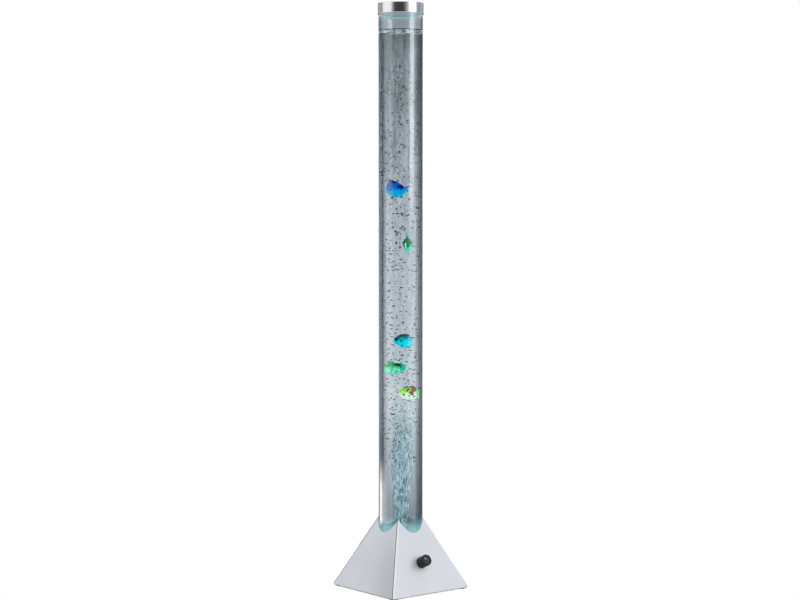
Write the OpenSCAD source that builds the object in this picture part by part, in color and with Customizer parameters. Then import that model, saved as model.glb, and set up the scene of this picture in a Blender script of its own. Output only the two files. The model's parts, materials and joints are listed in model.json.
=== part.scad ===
// Bubble tube floor lamp. Millimetres, +Z up, origin on the floor under the middle of the foot.
// The control knob is on the -Y face of the foot and the low-voltage inlet on the +Y face.

/* [Overall] */
// Height of the lamp from the floor to the top of the cap
total_h = 1190; // [900:10:1400]
// Direction that the fish are placed for, in degrees from straight on to the knob's face
look_angle = -38.8; // [-60:0.1:60]

/* [Foot] */
// Side of the square foot
base_w = 200; // [190:1:240]
// Height of the point where the four faces would meet, above the foot's lower edge
apex_h = 210.3; // [200:0.1:230]
// Thickness of the folded sheet cover
sheet_t = 2; // [1.5:0.1:2.5]
// Width of the blunt strip along each folded corner
fold_w = 2; // [1:0.1:4]
// Height of the cover's lower edge above the floor
edge_z = 4; // [3.5:0.1:6]
// Thickness of the bottom plate
plate_t = 1.8; // [1.2:0.1:2.5]
// Radius of a rubber foot
foot_r = 8; // [6:0.5:9]

/* [Tube] */
// Outer diameter of the acrylic tube
tube_od = 90; // [88:0.5:91]
// Wall of the acrylic tube
tube_wall = 3; // [2:0.5:4]
// Height of the tube's lower end above the floor
tube_z = 93.5; // [92:0.5:96]
// Thickness of the clear disc that closes the tube
disc_t = 5; // [4:0.5:6]

/* [Cap] */
// Outer radius of the cap
cap_r = 46.2; // [46.1:0.1:47]
// Height of the cap
cap_h = 24; // [18:1:40]
// Wall of the cap
cap_wall = 0.8; // [0.6:0.1:0.8]
// Outer radius of the cap's flared lower lip
lip_r = 47; // [46.8:0.1:48]
// How far the cap's top plate lies over the end of the tube
cap_gap = 3.6; // [3.4:0.1:5]

/* [Knob] */
// Distance of the knob from the middle of its face, to the right
knob_x = -6; // [-20:1:20]
// Height of the knob's axis where it meets the face
knob_z = 61.3; // [55:0.1:65]
// Radius of the knob
knob_r = 11.5; // [10:0.5:13]
// Distance of the knob's front from the face
knob_l = 21.5; // [18:0.5:24]
// Turn of the knob's pointer at rest, from straight up the face
pointer_turn = 40; // [-140:5:140]

/* [Fish] */
// Thickness of a fish's fins
fin_t = 1.6; // [1.2:0.1:2]

/* [Hidden] */

$fn = 96;
small_fn = 32;
skin = 0.01;

// The foot's faces lean in from the vertical by the first angle, and its corners by the second.
lean = atan(base_w / 2 / apex_h);
corner_lean = atan(base_w * sqrt(2) / 2 / apex_h);
sheet_across = sheet_t / cos(lean);
inner_w = base_w - 2 * sheet_across;
inner_h = inner_w / 2 / tan(lean);
function half_width(z) = base_w / 2 - (z - edge_z) * tan(lean);

tube_r = tube_od / 2;
bore_r = tube_r - tube_wall;
hole_r = tube_r + 0.6;
cap_z = total_h - cap_h;
tube_top = total_h - cap_gap;
plate_z = edge_z - plate_t;
disc_top = tube_z + disc_t;

// Places of the four-fold fasteners and supports
pillar_at = 47;
post_at = 74;
foot_at = 88;
pillar_r = 4.5;
seat_flange_z = 85;
seat_flange_t = 3;
seat_floor_z = tube_z - 1.5;
seat_top_z = 104;
seat_w = 108;
seat_r = 48.6;
seat_hole_r = 41;

// The light
led_board_z = 72;
board_t = 1.6;
led_ring_r = 30;
led_count = 12;
led_r = 2.5;
led_standoff_at = 44.5;

// The pump's case, its corner nearest to -X and -Y, and its size
pump = [-64, -32, 9];
pump_size = [40, 64, 36];
pump_split = 22;
pump_wall = 2;

// The pump's motor: a three-legged core, with an arm that swings in front of its legs
core_z = 18;
core_h = 14;
core_x = -59;
core_y = -25;
yoke_y = -19;
leg_y = -8;
leg_w = 6;
leg_pitch = 12;
motor_x = core_x + leg_pitch + leg_w / 2;
motor_z = core_z + core_h / 2;
coil_size = [16, 9.7, 21];
arm_pivot = [-58, -2];
arm_end_x = -33;
arm_t = 1.6;
pivot_r = 1.5;
magnet_size = [14, 3.2, 12];
diaphragm_y = 1;

// The pump's valve block, and the place and height of its outlet
valve_low = [-56, 14, pump[2] + pump_wall];
valve_high = [-28, 25, 35];
outlet = [-34, 28];

// The control board
board = [10, -34, 12];
board_size = [60, 56];
board_top = board[2] + board_t;

// The rotary control behind the knob, measured outwards from its face
bushing_r = 3.5;
shaft_r = 3;
running = 0.05;
shaft_end = 16;
control_back = -14;
knob_recess = 2;
insert_r = 8;

// The low-voltage inlet
jack_x = 40;
jack_z = 26;
jack_r = 4;
jack_bore_r = 2.85;

// Soft hose and wires
hose_r = 3;
hose_bore_r = 2.1;
barb_r = 2;
wire_r = 0.8;
valve_at = [-7, 60, 36];
valve_r = 6;
valve_l = 20;

// Routes: each is a list of points from its first end to its last.
lower_hose = [
    [outlet[0], 34, outlet[1]], [outlet[0], 44, 28], [-33.4, 51, 29.5], [-31, 56, 32],
    [-27.4, 59, 34.4], [-22.6, 60, 36], [-19, 60, 36]
];
upper_hose = [
    [5, 60, 36], [11, 60, 36], [18, 58, 36.6], [24, 53, 38.5], [27, 45, 41.5], [26, 35, 45],
    [20, 24, 48], [12, 14, 50.5], [5, 5.5, 53], [1.4, 1.5, 56.5], [0, 0, 61], [0, 0, 68]
];
jack_route = [
    [40, 76.4, 19.3], [39, 68, 16], [38, 58, 13.5], [38, 46, 13], [41, 37, 14.5], [46, 31, 16.4],
    [48, 27.5, 17], [48, 24, 17]
];
control_route = [
    [-6, -59.3, 54.9], [0, -54, 48], [9, -50, 36], [17, -47, 26], [22, -43.5, 19.5], [24, -39.5, 17],
    [24, -36, 17]
];
led_route = [
    [24, 12, 72], [24, 12, 69], [26, 12, 65], [30, 12, 59], [35, 12, 50], [38.5, 12, 40],
    [40, 12, 28], [40, 12, 18]
];
pump_route = [
    [-40, -15, 35.5], [-40, -15, 38.5], [-36, -18, 40.5], [-30, -20, 38], [-27.8, -20, 34],
    [-27.6, -20, 29], [-26.6, -20, 25], [-24.6, -20, 24], [-21, -20, 24], [-12, -20, 22],
    [-4, -20, 19], [3, -20, 17], [8, -20, 17], [12, -20, 17]
];

// A point at a distance across the view and towards the viewer
function seen(across, toward, z) = [
    across * cos(look_angle) + toward * sin(look_angle),
    across * sin(look_angle) - toward * cos(look_angle),
    z
];

// Fish: place in the water, then length, height and thickness
fish_1_at = seen(-5.6, 2, 815);
fish_1_size = [37, 41, 12];
fish_2_at = seen(11.2, 0, 704);
fish_2_size = [34, 42, 13];
fish_3_at = seen(3.8, 4, 508);
fish_3_size = [30, 29, 11];
fish_4_at = seen(-9, 0, 453);
fish_4_size = [34, 30, 11];
fish_5_at = seen(14.9, 4, 402);
fish_5_size = [37, 29, 11];

// --- shared shapes ---

// A long tent with one pair of sloping sides
module tent(width, height) {
    translate([0, width, 0])
        rotate([90, 0, 0])
            linear_extrude(2 * width)
                polygon([[-width / 2, 0], [width / 2, 0], [0, height]]);
}

module pyramid(width, height) {
    intersection() {
        tent(width, height);
        rotate([0, 0, 90]) tent(width, height);
    }
}

// Children at the four corners of a square
module at_corners(distance) {
    for (sx = [-1, 1], sy = [-1, 1])
        translate([sx * distance, sy * distance, 0]) children();
}

// Children on the foot's front face, with +Z pointing straight out of it
module on_front(x, z) {
    translate([x, -half_width(z), z])
        rotate([90 - lean, 0, 0]) children();
}

module on_rear(x, z) {
    translate([x, half_width(z), z])
        rotate([-(90 - lean), 0, 0]) children();
}

module ring(outer, inner, height) {
    difference() {
        cylinder(h = height, r = outer);
        translate([0, 0, -1]) cylinder(h = height + 2, r = inner);
    }
}

module block(low, high) {
    translate(low) cube(high - low);
}

// A pan-head screw: the head's underside at z = 0, the shank downwards
module pan_screw(head_r, head_h, shank_r, shank_l) {
    difference() {
        cylinder(h = head_h, r = head_r, $fn = small_fn);
        translate([-head_r * 0.6, -head_r * 0.12, head_h * 0.5])
            cube([head_r * 1.2, head_r * 0.24, head_h]);
        translate([-head_r * 0.12, -head_r * 0.6, head_h * 0.5])
            cube([head_r * 0.24, head_r * 1.2, head_h]);
    }
    translate([0, 0, -shank_l]) cylinder(h = shank_l + skin, r = shank_r, $fn = small_fn);
}

// A round tube along a route, with flat ends square to it
function unit(v) = v / norm(v);
function along(p, i) = unit(p[min(i + 1, len(p) - 1)] - p[max(i - 1, 0)]);
function square_to(v, t) = unit(v - (v * t) * t);
function first_side(t) = square_to(abs(t[2]) < 0.9 ? [0, 0, 1] : [1, 0, 0], t);
function sides(p, i = 0, last = undef, got = []) =
    i == len(p) ? got :
    let (t = along(p, i), s = last == undef ? first_side(t) : square_to(last, t))
    sides(p, i + 1, s, concat(got, [s]));

module swept(route, radius, n = 8) {
    s = sides(route);
    points = [
        for (i = [0 : len(route) - 1]) let (t = along(route, i), u = s[i], v = cross(t, u))
            for (k = [0 : n - 1]) route[i] + radius * (cos(360 * k / n) * u + sin(360 * k / n) * v)
    ];
    last = (len(route) - 1) * n;
    walls = [
        for (i = [0 : len(route) - 2], k = [0 : n - 1]) let (a = i * n + k, b = i * n + (k + 1) % n)
            for (f = [[a, a + n, b], [b, a + n, b + n]]) f
    ];
    ends = concat(
        [for (k = [1 : n - 2]) [0, k, k + 1]],
        [for (k = [1 : n - 2]) [last, last + k + 1, last + k]]
    );
    polyhedron(points = points, faces = concat(walls, ends), convexity = 6);
}

// --- foot ---

module pyramid_shell() {
    color("lightsteelblue")
        difference() {
            translate([0, 0, edge_z])
                intersection() {
                    pyramid(base_w, apex_h);
                    corner_w = base_w * sqrt(2) - fold_w;
                    rotate([0, 0, 45]) pyramid(corner_w, corner_w / 2 / tan(corner_lean));
                }
            translate([0, 0, edge_z - skin]) pyramid(inner_w, inner_h);
            translate([0, 0, edge_z + 40]) cylinder(h = apex_h, r = hole_r);
            on_front(knob_x, knob_z) translate([0, 0, -10]) cylinder(h = 20, r = bushing_r + 0.1);
            on_rear(jack_x, jack_z) translate([0, 0, -10]) cylinder(h = 20, r = jack_r + 0.1);
        }
}

module corner_posts() {
    color("silver")
        intersection() {
            translate([0, 0, edge_z]) pyramid(inner_w, inner_h);
            at_corners(post_at)
                difference() {
                    translate([-8, -8, edge_z]) cube([16, 16, 18]);
                    translate([0, 0, edge_z - 1]) cylinder(h = 13, r = 1.65, $fn = small_fn);
                }
        }
}

module base_plate() {
    plate_w = base_w - 1;
    color("gray")
        difference() {
            intersection() {
                translate([-plate_w / 2, -plate_w / 2, plate_z]) cube([plate_w, plate_w, plate_t]);
                rotate([0, 0, 45]) cube([plate_w * 1.38, plate_w * 1.38, 20], center = true);
            }
            at_corners(post_at) translate([0, 0, -1]) cylinder(h = 9, r = 1.8, $fn = small_fn);
            at_corners(pillar_at) translate([0, 0, -1]) cylinder(h = 9, r = 1.8, $fn = small_fn);
            for (k = [0 : 5])
                translate([-60 + k * 7, -20, -1]) cube([3, 40, 9]);
        }
}

module base_screws() {
    color("dimgray")
        at_corners(post_at)
            translate([0, 0, plate_z]) mirror([0, 0, 1]) pan_screw(3.2, 1.5, 1.6, 10);
}

module rubber_feet() {
    color("darkslategray")
        at_corners(foot_at)
            difference() {
                cylinder(h = plate_z, r = foot_r);
                translate([0, 0, -skin]) cylinder(h = 0.8, r = foot_r - 3);
            }
}

// --- tube and its seat ---

module tube_seat() {
    color("dimgray")
        difference() {
            union() {
                translate([-seat_w / 2, -seat_w / 2, seat_flange_z]) cube([seat_w, seat_w, seat_flange_t]);
                translate([0, 0, seat_flange_z]) cylinder(h = seat_top_z - seat_flange_z, r = seat_r);
            }
            translate([0, 0, seat_flange_z - 1]) cylinder(h = 40, r = seat_hole_r);
            translate([0, 0, seat_floor_z]) cylinder(h = 40, r = tube_r + 0.3);
            at_corners(pillar_at)
                translate([0, 0, seat_flange_z - 1]) cylinder(h = 9, r = 1.8, $fn = small_fn);
            for (a = [0 : 90 : 270])
                rotate([0, 0, a]) translate([led_standoff_at, 0, seat_flange_z - 1])
                    cylinder(h = 5, r = 1.35, $fn = small_fn);
        }
}

module seat_pillars() {
    color("silver")
        at_corners(pillar_at)
            difference() {
                translate([0, 0, edge_z]) cylinder(h = seat_flange_z - edge_z, r = pillar_r, $fn = small_fn);
                translate([0, 0, edge_z - 1]) cylinder(h = 13, r = 1.65, $fn = small_fn);
                translate([0, 0, seat_flange_z - 12]) cylinder(h = 13, r = 1.65, $fn = small_fn);
            }
}

module pillar_screws() {
    color("dimgray")
        at_corners(pillar_at) {
            translate([0, 0, plate_z]) mirror([0, 0, 1]) pan_screw(3.2, 1.5, 1.6, 10);
            translate([0, 0, seat_flange_z + seat_flange_t]) pan_screw(3.2, 2, 1.6, 10);
        }
}

module tube_gasket() {
    color("whitesmoke")
        translate([0, 0, seat_floor_z]) ring(tube_r + 0.2, seat_hole_r + 0.2, tube_z - seat_floor_z);
}

module water_tube() {
    color("lightcyan", 0.4)
        translate([0, 0, tube_z]) ring(tube_r, bore_r, tube_top - tube_z);
}

module tube_bottom() {
    color("lightcyan", 0.5)
        translate([0, 0, tube_z]) ring(bore_r, 4.1, disc_t);
}

// --- air ---

module air_nozzle() {
    color("white")
        difference() {
            union() {
                translate([0, 0, disc_top + 0.6]) cylinder(h = 3, r = 9);
                translate([0, 0, tube_z - 10]) cylinder(h = disc_t + 12, r = 4);
                translate([0, 0, 62]) cylinder(h = 24, r = barb_r);
                translate([0, 0, disc_top + 3]) cylinder(h = 8, r = barb_r);
            }
            translate([0, 0, 60]) cylinder(h = 60, r = 1.2, $fn = small_fn);
        }
}

module nozzle_nut() {
    color("white")
        difference() {
            translate([0, 0, tube_z - 5.2]) cylinder(h = 5, r = 8, $fn = 6);
            translate([0, 0, tube_z - 6]) cylinder(h = 8, r = 4.02);
        }
}

module nozzle_seal() {
    color("darkslategray")
        translate([0, 0, disc_top]) ring(8, 4.2, 0.6);
}

module air_stone() {
    stone_z = disc_top + 4.2;
    color("lightgray")
        difference() {
            union() {
                translate([0, 0, stone_z]) cylinder(h = 10, r = 14);
                translate([0, 0, stone_z + 10 - skin]) cylinder(h = 2, r1 = 14, r2 = 12);
            }
            translate([0, 0, stone_z - 1]) cylinder(h = 9, r = barb_r + 0.05);
        }
}

module air_hose_lower() {
    color("aliceblue")
        difference() {
            swept(lower_hose, hose_r);
            translate([outlet[0], 33, outlet[1]]) rotate([-90, 0, 0]) cylinder(h = 9, r = hose_bore_r);
            translate([-26, 60, 36]) rotate([0, 90, 0]) cylinder(h = 9, r = hose_bore_r);
        }
}

module check_valve() {
    color("mediumseagreen")
        translate(valve_at)
            rotate([0, 90, 0])
                difference() {
                    union() {
                        translate([0, 0, -valve_l / 2]) cylinder(h = valve_l, r = valve_r);
                        translate([0, 0, -1]) cylinder(h = 2, r = valve_r + 1);
                        translate([0, 0, -valve_l / 2 - 7]) cylinder(h = valve_l + 14, r = barb_r);
                    }
                    translate([0, 0, -valve_l]) cylinder(h = 2 * valve_l, r = 1.2, $fn = small_fn);
                }
}

module air_hose_upper() {
    color("aliceblue")
        difference() {
            swept(upper_hose, hose_r);
            translate([4, 60, 36]) rotate([0, 90, 0]) cylinder(h = 7, r = hose_bore_r);
            translate([0, 0, 61.5]) cylinder(h = 9, r = hose_bore_r);
        }
}

// --- pump ---

module pump_shell(low, high, open_top) {
    inner_low = low + [pump_wall, pump_wall, open_top ? pump_wall : -1];
    inner_high = high - [pump_wall, pump_wall, open_top ? -1 : pump_wall];
    difference() {
        block(low, high);
        block(inner_low, inner_high);
    }
}

module at_pump_corners(inset) {
    for (fx = [0, 1], fy = [0, 1])
        translate([
            pump[0] + inset + fx * (pump_size[0] - 2 * inset),
            pump[1] + inset + fy * (pump_size[1] - 2 * inset),
            0
        ])
            children();
}

module pump_case() {
    split_z = pump[2] + pump_split;
    color("darkslategray")
        difference() {
            union() {
                pump_shell(pump, [pump[0] + pump_size[0], pump[1] + pump_size[1], split_z], true);
                at_pump_corners(4)
                    translate([0, 0, pump[2] + 1]) cylinder(h = pump_split - 1, r = 2.6, $fn = small_fn);
                for (x = [core_x, core_x + 2 * leg_pitch])
                    block([x, core_y, pump[2] + 1], [x + leg_w, yoke_y, core_z]);
            }
            at_pump_corners(4) translate([0, 0, split_z - 10]) cylinder(h = 12, r = 1.05, $fn = small_fn);
            translate([outlet[0], 28, outlet[1]]) rotate([-90, 0, 0]) cylinder(h = 6, r = barb_r + 0.3);
            translate([pump[0] + pump_size[0] - 4, -20, 24])
                rotate([0, 90, 0]) cylinder(h = 6, r = 2.6, $fn = small_fn);
        }
}

module pump_lid() {
    split_z = pump[2] + pump_split;
    color("darkslategray")
        difference() {
            union() {
                pump_shell([pump[0], pump[1], split_z], pump + pump_size, false);
                at_pump_corners(4)
                    translate([0, 0, split_z]) cylinder(h = 13, r = 2.6, $fn = small_fn);
            }
            at_pump_corners(4) translate([0, 0, split_z - 1]) cylinder(h = 20, r = 1.2, $fn = small_fn);
        }
}

module pump_screws() {
    color("silver")
        at_pump_corners(4)
            translate([0, 0, pump[2] + pump_size[2]]) pan_screw(2.2, 1.4, 1, 20);
}

module pump_mounts() {
    color("black")
        at_pump_corners(7)
            translate([0, 0, edge_z]) cylinder(h = pump[2] - edge_z, r = 4, $fn = small_fn);
}

module pump_core() {
    color("gray")
        translate([0, 0, core_z]) {
            block([core_x, core_y, 0], [core_x + 2 * leg_pitch + leg_w, yoke_y, core_h]);
            for (x = [core_x : leg_pitch : core_x + 2 * leg_pitch])
                block([x, yoke_y - skin, 0], [x + leg_w, leg_y, core_h]);
        }
}

// The winding fits round the core's middle leg, just clear of it.
module pump_coil() {
    fit = 0.2;
    coil_y = leg_y - 1 - coil_size[1] / 2;
    color("chocolate")
        translate([motor_x, coil_y, motor_z])
            difference() {
                cube(coil_size, center = true);
                cube([leg_w + 2 * fit, 2 * coil_size[1], core_h + 2 * fit], center = true);
            }
}

module at_pivot(z) {
    translate([arm_pivot[0], arm_pivot[1], z]) children();
}

module pump_pivot() {
    color("silver")
        at_pivot(pump[2] + pump_wall) cylinder(h = 30, r = pivot_r, $fn = small_fn);
}

module pump_arm() {
    stud_h = 2.3;
    color("silver")
        difference() {
            union() {
                at_pivot(core_z) cylinder(h = core_h, r = 2 * pivot_r, $fn = small_fn);
                at_pivot(core_z)
                    translate([0, -arm_t / 2, 0]) cube([arm_end_x - arm_pivot[0], arm_t, core_h]);
                translate([motor_x, diaphragm_y - stud_h, motor_z])
                    rotate([-90, 0, 0]) cylinder(h = stud_h, r = 3, $fn = small_fn);
            }
            at_pivot(core_z - 1) cylinder(h = core_h + 2, r = pivot_r + running, $fn = small_fn);
        }
}

module pump_magnet() {
    magnet_y = arm_pivot[1] - arm_t / 2 - magnet_size[1] / 2;
    color("dimgray")
        translate([motor_x, magnet_y, motor_z]) cube(magnet_size, center = true);
}

module pump_diaphragm() {
    color("black")
        translate([motor_x, diaphragm_y, motor_z])
            rotate([-90, 0, 0])
                rotate_extrude()
                    polygon([
                        [0, 0], [4, 0], [4.6, 3], [8.6, 9.5], [9.5, 10.5], [9.5, 13],
                        [7.6, 13], [3.4, 4.6], [0, 4.6]
                    ]);
}

// A bore or a peg along +Y, from a place on the pump
module along_y(x, y, z) {
    translate([x, y, z]) rotate([-90, 0, 0]) children();
}

module pump_valve_block() {
    barb_l = 21;
    color("lightgray")
        difference() {
            union() {
                block(valve_low, valve_high);
                along_y(outlet[0], 20, outlet[1]) cylinder(h = barb_l, r = barb_r);
            }
            along_y(outlet[0], 22, outlet[1]) cylinder(h = barb_l, r = 1.2, $fn = small_fn);
            along_y(motor_x, valve_low[1] - 1, motor_z) cylinder(h = 5, r = 5);
        }
}

// --- light ---

module led_board() {
    color("white")
        difference() {
            translate([0, 0, led_board_z]) ring(led_standoff_at + 3.5, 9, board_t);
            for (a = [0 : 90 : 270])
                rotate([0, 0, a]) translate([led_standoff_at, 0, led_board_z - 1])
                    cylinder(h = 5, r = 1.4, $fn = small_fn);
        }
}

module led_chips() {
    color("aquamarine")
        for (k = [0 : led_count - 1])
            rotate([0, 0, (k + 0.5) * 360 / led_count])
                translate([led_ring_r, 0, led_board_z + board_t]) {
                    cylinder(h = 1, r = led_r + 0.4, $fn = small_fn);
                    cylinder(h = 6, r = led_r, $fn = small_fn);
                    translate([0, 0, 6]) sphere(r = led_r, $fn = small_fn);
                }
}

module led_standoffs() {
    standoff_z = led_board_z + board_t;
    color("silver")
        for (a = [0 : 90 : 270])
            rotate([0, 0, a]) translate([led_standoff_at, 0, standoff_z])
                difference() {
                    cylinder(h = seat_flange_z - standoff_z, r = 3, $fn = small_fn);
                    translate([0, 0, -1]) cylinder(h = 20, r = 1.3, $fn = small_fn);
                }
}

module led_screws() {
    color("dimgray")
        for (a = [0 : 90 : 270])
            rotate([0, 0, a]) translate([led_standoff_at, 0, led_board_z])
                mirror([0, 0, 1]) pan_screw(2.4, 1.4, 1.25, 15);
}

// --- control board ---

module at_board_corners() {
    for (fx = [0, 1], fy = [0, 1])
        translate([board[0] + 4 + fx * (board_size[0] - 8), board[1] + 4 + fy * (board_size[1] - 8), 0])
            children();
}

module control_board() {
    color("seagreen")
        difference() {
            block(board, [board[0] + board_size[0], board[1] + board_size[1], board_top]);
            at_board_corners() translate([0, 0, board[2] - 1]) cylinder(h = 4, r = 1.6, $fn = small_fn);
        }
}

module board_standoffs() {
    color("white")
        at_board_corners() {
            translate([0, 0, edge_z]) cylinder(h = board[2] - edge_z, r = 3, $fn = small_fn);
            translate([0, 0, board[2] - skin]) cylinder(h = board_t + 1.2, r = 1.5, $fn = small_fn);
            translate([0, 0, board_top]) cylinder(h = 1.6, r1 = 2.2, r2 = 1.2, $fn = small_fn);
        }
}

module board_capacitors() {
    color("midnightblue") {
        translate([62, -22, board_top]) cylinder(h = 20, r = 5);
        translate([62, -9, board_top]) cylinder(h = 20, r = 5);
        translate([53, -25, board_top]) cylinder(h = 11, r = 3.2);
    }
}

module board_heatsink() {
    color("silver")
        translate([50, -3, board_top]) {
            cube([4, 14, 18]);
            for (y = [0 : 4 : 12])
                translate([4 - skin, y, 0]) cube([8, 2, 18]);
        }
}

module board_terminals() {
    color("forestgreen") {
        terminal_block([16.6, -36, board_top], [15, 9, 9], 3);
        terminal_block([42, 15, board_top], [12, 9, 9], 2);
        terminal_block([34, 8, board_top], [12, 8, 4.4], 2);
        terminal_block([12, -26, board_top], [9, 12, 9], 2);
    }
}

// A screw terminal: a block with one round screw recess for each wire
module terminal_block(corner, size, count) {
    along_x = size[0] >= size[1];
    pitch = (along_x ? size[0] : size[1]) / count;
    difference() {
        translate(corner) cube(size);
        for (k = [0 : count - 1])
            let (step = pitch * (k + 0.5))
                translate(corner + [along_x ? step : size[0] / 2, along_x ? size[1] / 2 : step, size[2] - 1])
                    cylinder(h = 2, r = 1.6, $fn = small_fn);
    }
}

module board_chips() {
    color("black") {
        translate([20, -14, board_top]) cube([20, 8, 4]);
        translate([22, 0, board_top]) cube([8, 6, 2]);
        translate([44, -14, board_top]) cube([8, 8, 3]);
    }
}

// --- control and knob, measured outwards from the face ---

module control_housing() {
    color("silver")
        on_front(knob_x, knob_z)
            difference() {
                union() {
                    translate([0, 0, control_back]) cylinder(h = -control_back - sheet_t - 0.1, r = 11);
                    translate([0, 0, control_back]) cylinder(h = 6 - control_back, r = bushing_r);
                }
                translate([0, 0, control_back + 2]) cylinder(h = 6, r = 9.5);
                translate([0, 0, control_back + 7]) cylinder(h = 20, r = shaft_r + running);
            }
}

module control_wiper() {
    color("gold")
        on_front(knob_x, knob_z)
            translate([0, 0, control_back + 3.5]) ring(9, shaft_r, 2);
}

module control_shaft() {
    color("silver")
        on_front(knob_x, knob_z)
            translate([0, 0, control_back + 3.5]) cylinder(h = shaft_end - control_back - 3.5, r = shaft_r);
}

module control_nut() {
    color("silver")
        on_front(knob_x, knob_z) {
            difference() {
                translate([0, 0, 0.6]) cylinder(h = 2.2, r = 5.6, $fn = 6);
                translate([0, 0, -1]) cylinder(h = 8, r = bushing_r + 0.02);
            }
            ring(6.2, bushing_r + 0.02, 0.6);
        }
}

module knob() {
    edge = 0.8;
    color("black")
        on_front(knob_x, knob_z)
            rotate([0, 0, pointer_turn])
                difference() {
                    rotate_extrude()
                        polygon([
                            [0, 1], [knob_r - edge / 2, 1], [knob_r, 1 + edge / 2], [knob_r, knob_l - edge],
                            [knob_r - edge, knob_l], [0, knob_l]
                        ]);
                    cylinder(h = 7, r = knob_r - 3.5);
                    cylinder(h = shaft_end + 0.2, r = shaft_r + 0.01);
                    translate([0, 0, knob_l - knob_recess]) cylinder(h = 4, r = insert_r);
                }
}

module knob_insert() {
    color("dimgray")
        on_front(knob_x, knob_z)
            rotate([0, 0, pointer_turn])
                translate([0, 0, knob_l - knob_recess]) {
                    cylinder(h = 1.2, r = insert_r - running);
                    translate([-0.7, 1.5, 1]) cube([1.4, 5.5, 0.6]);
                }
}

// --- low-voltage inlet ---

module dc_jack() {
    color("black")
        on_rear(jack_x, jack_z)
            difference() {
                union() {
                    cylinder(h = 1.5, r = 6);
                    translate([0, 0, -13]) cylinder(h = 14, r = jack_r);
                }
                translate([0, 0, -9]) cylinder(h = 20, r = jack_bore_r);
            }
}

module jack_pin() {
    color("gold")
        on_rear(jack_x, jack_z)
            translate([0, 0, -9]) cylinder(h = 8.5, r = 1.05, $fn = small_fn);
}

module jack_nut() {
    color("silver")
        on_rear(jack_x, jack_z)
            difference() {
                translate([0, 0, -sheet_t - 2.6]) cylinder(h = 2.5, r = 6.4, $fn = 6);
                translate([0, 0, -10]) cylinder(h = 12, r = jack_r + 0.02);
            }
}

// --- wires inside the foot: each lead is a few single wires side by side ---

module lead(route, offsets) {
    for (o = offsets)
        translate(o) swept(route, wire_r);
}

module jack_leads() {
    color("red") lead(jack_route, [[-1.2, 0, 0], [1.2, 0, 0]]);
}

module control_leads() {
    color("orange") lead(control_route, [[-2.2, 0, 0], [0, 0, 0], [2.2, 0, 0]]);
}

module led_leads() {
    color("white") lead(led_route, [[0, -1.2, 0], [0, 1.2, 0]]);
}

module pump_leads() {
    color("blue") lead(pump_route, [[0, -1.2, 0], [0, 1.2, 0]]);
}

// --- cap ---

module top_cap() {
    inner_r = cap_r - cap_wall;
    color("silver")
        translate([0, 0, cap_z])
            difference() {
                rotate_extrude($fn = 128)
                    polygon([
                        [inner_r, 0], [lip_r - 0.3, 0], [lip_r, 0.4], [lip_r - 0.1, 1.1], [cap_r + 0.1, 2],
                        [cap_r, 2.6], [cap_r, cap_h - 0.9], [cap_r - 0.9, cap_h], [0, cap_h],
                        [0, cap_h - 1.2], [inner_r, cap_h - 1.2]
                    ]);
                cylinder(h = cap_h + 1, r = 2, $fn = small_fn);
            }
}

module cap_plug() {
    flange_z = tube_top;
    flange_t = total_h - 1.2 - tube_top;
    color("black")
        difference() {
            union() {
                translate([0, 0, flange_z]) cylinder(h = flange_t, r = tube_r);
                translate([0, 0, flange_z - 12]) ring(bore_r - 0.4, bore_r - 3, 12 + skin);
            }
            translate([0, 0, flange_z - 1]) cylinder(h = 9, r = 2, $fn = small_fn);
            for (a = [0 : 60 : 300])
                rotate([0, 0, a]) translate([20, 0, flange_z - 1]) cylinder(h = 9, r = 2, $fn = small_fn);
        }
}

// --- fish: nose at -X, tail at +X, one unit long and one unit tall before it is sized ---

function body_half(s) = 0.31 * (2.36 * sqrt(s) * pow(1 - s, 0.9) + 0.15 * s);
function body_thick(s) = 0.5 * (2.1 * sqrt(s) * pow(1 - s, 0.7) + 0.16 * s);
fish_rings = 9;
fish_sides = 10;
body_l = 0.84;

module fish_body(size) {
    s = [for (i = [0 : fish_rings]) 0.02 + 0.98 * pow(i / fish_rings, 1.3)];
    n = fish_sides;
    points = [
        for (v = s, k = [0 : n - 1]) [
            size[0] * (body_l * v - 0.5),
            size[2] * body_thick(v) * cos(360 * k / n),
            size[1] * body_half(v) * sin(360 * k / n)
        ]
    ];
    last = fish_rings * n;
    walls = [
        for (i = [0 : fish_rings - 1], k = [0 : n - 1]) let (a = i * n + k, b = i * n + (k + 1) % n)
            for (f = [[a, a + n, b], [b, a + n, b + n]]) f
    ];
    ends = concat(
        [for (k = [1 : n - 2]) [0, k, k + 1]],
        [for (k = [1 : n - 2]) [last, last + k + 1, last + k]]
    );
    polyhedron(points = points, faces = concat(walls, ends), convexity = 4);
}

module fin(outline, size) {
    translate([0, fin_t / 2, 0])
        rotate([90, 0, 0])
            linear_extrude(fin_t)
                polygon([for (p = outline) [p[0] * size[0], p[1] * size[1]]]);
}

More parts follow.
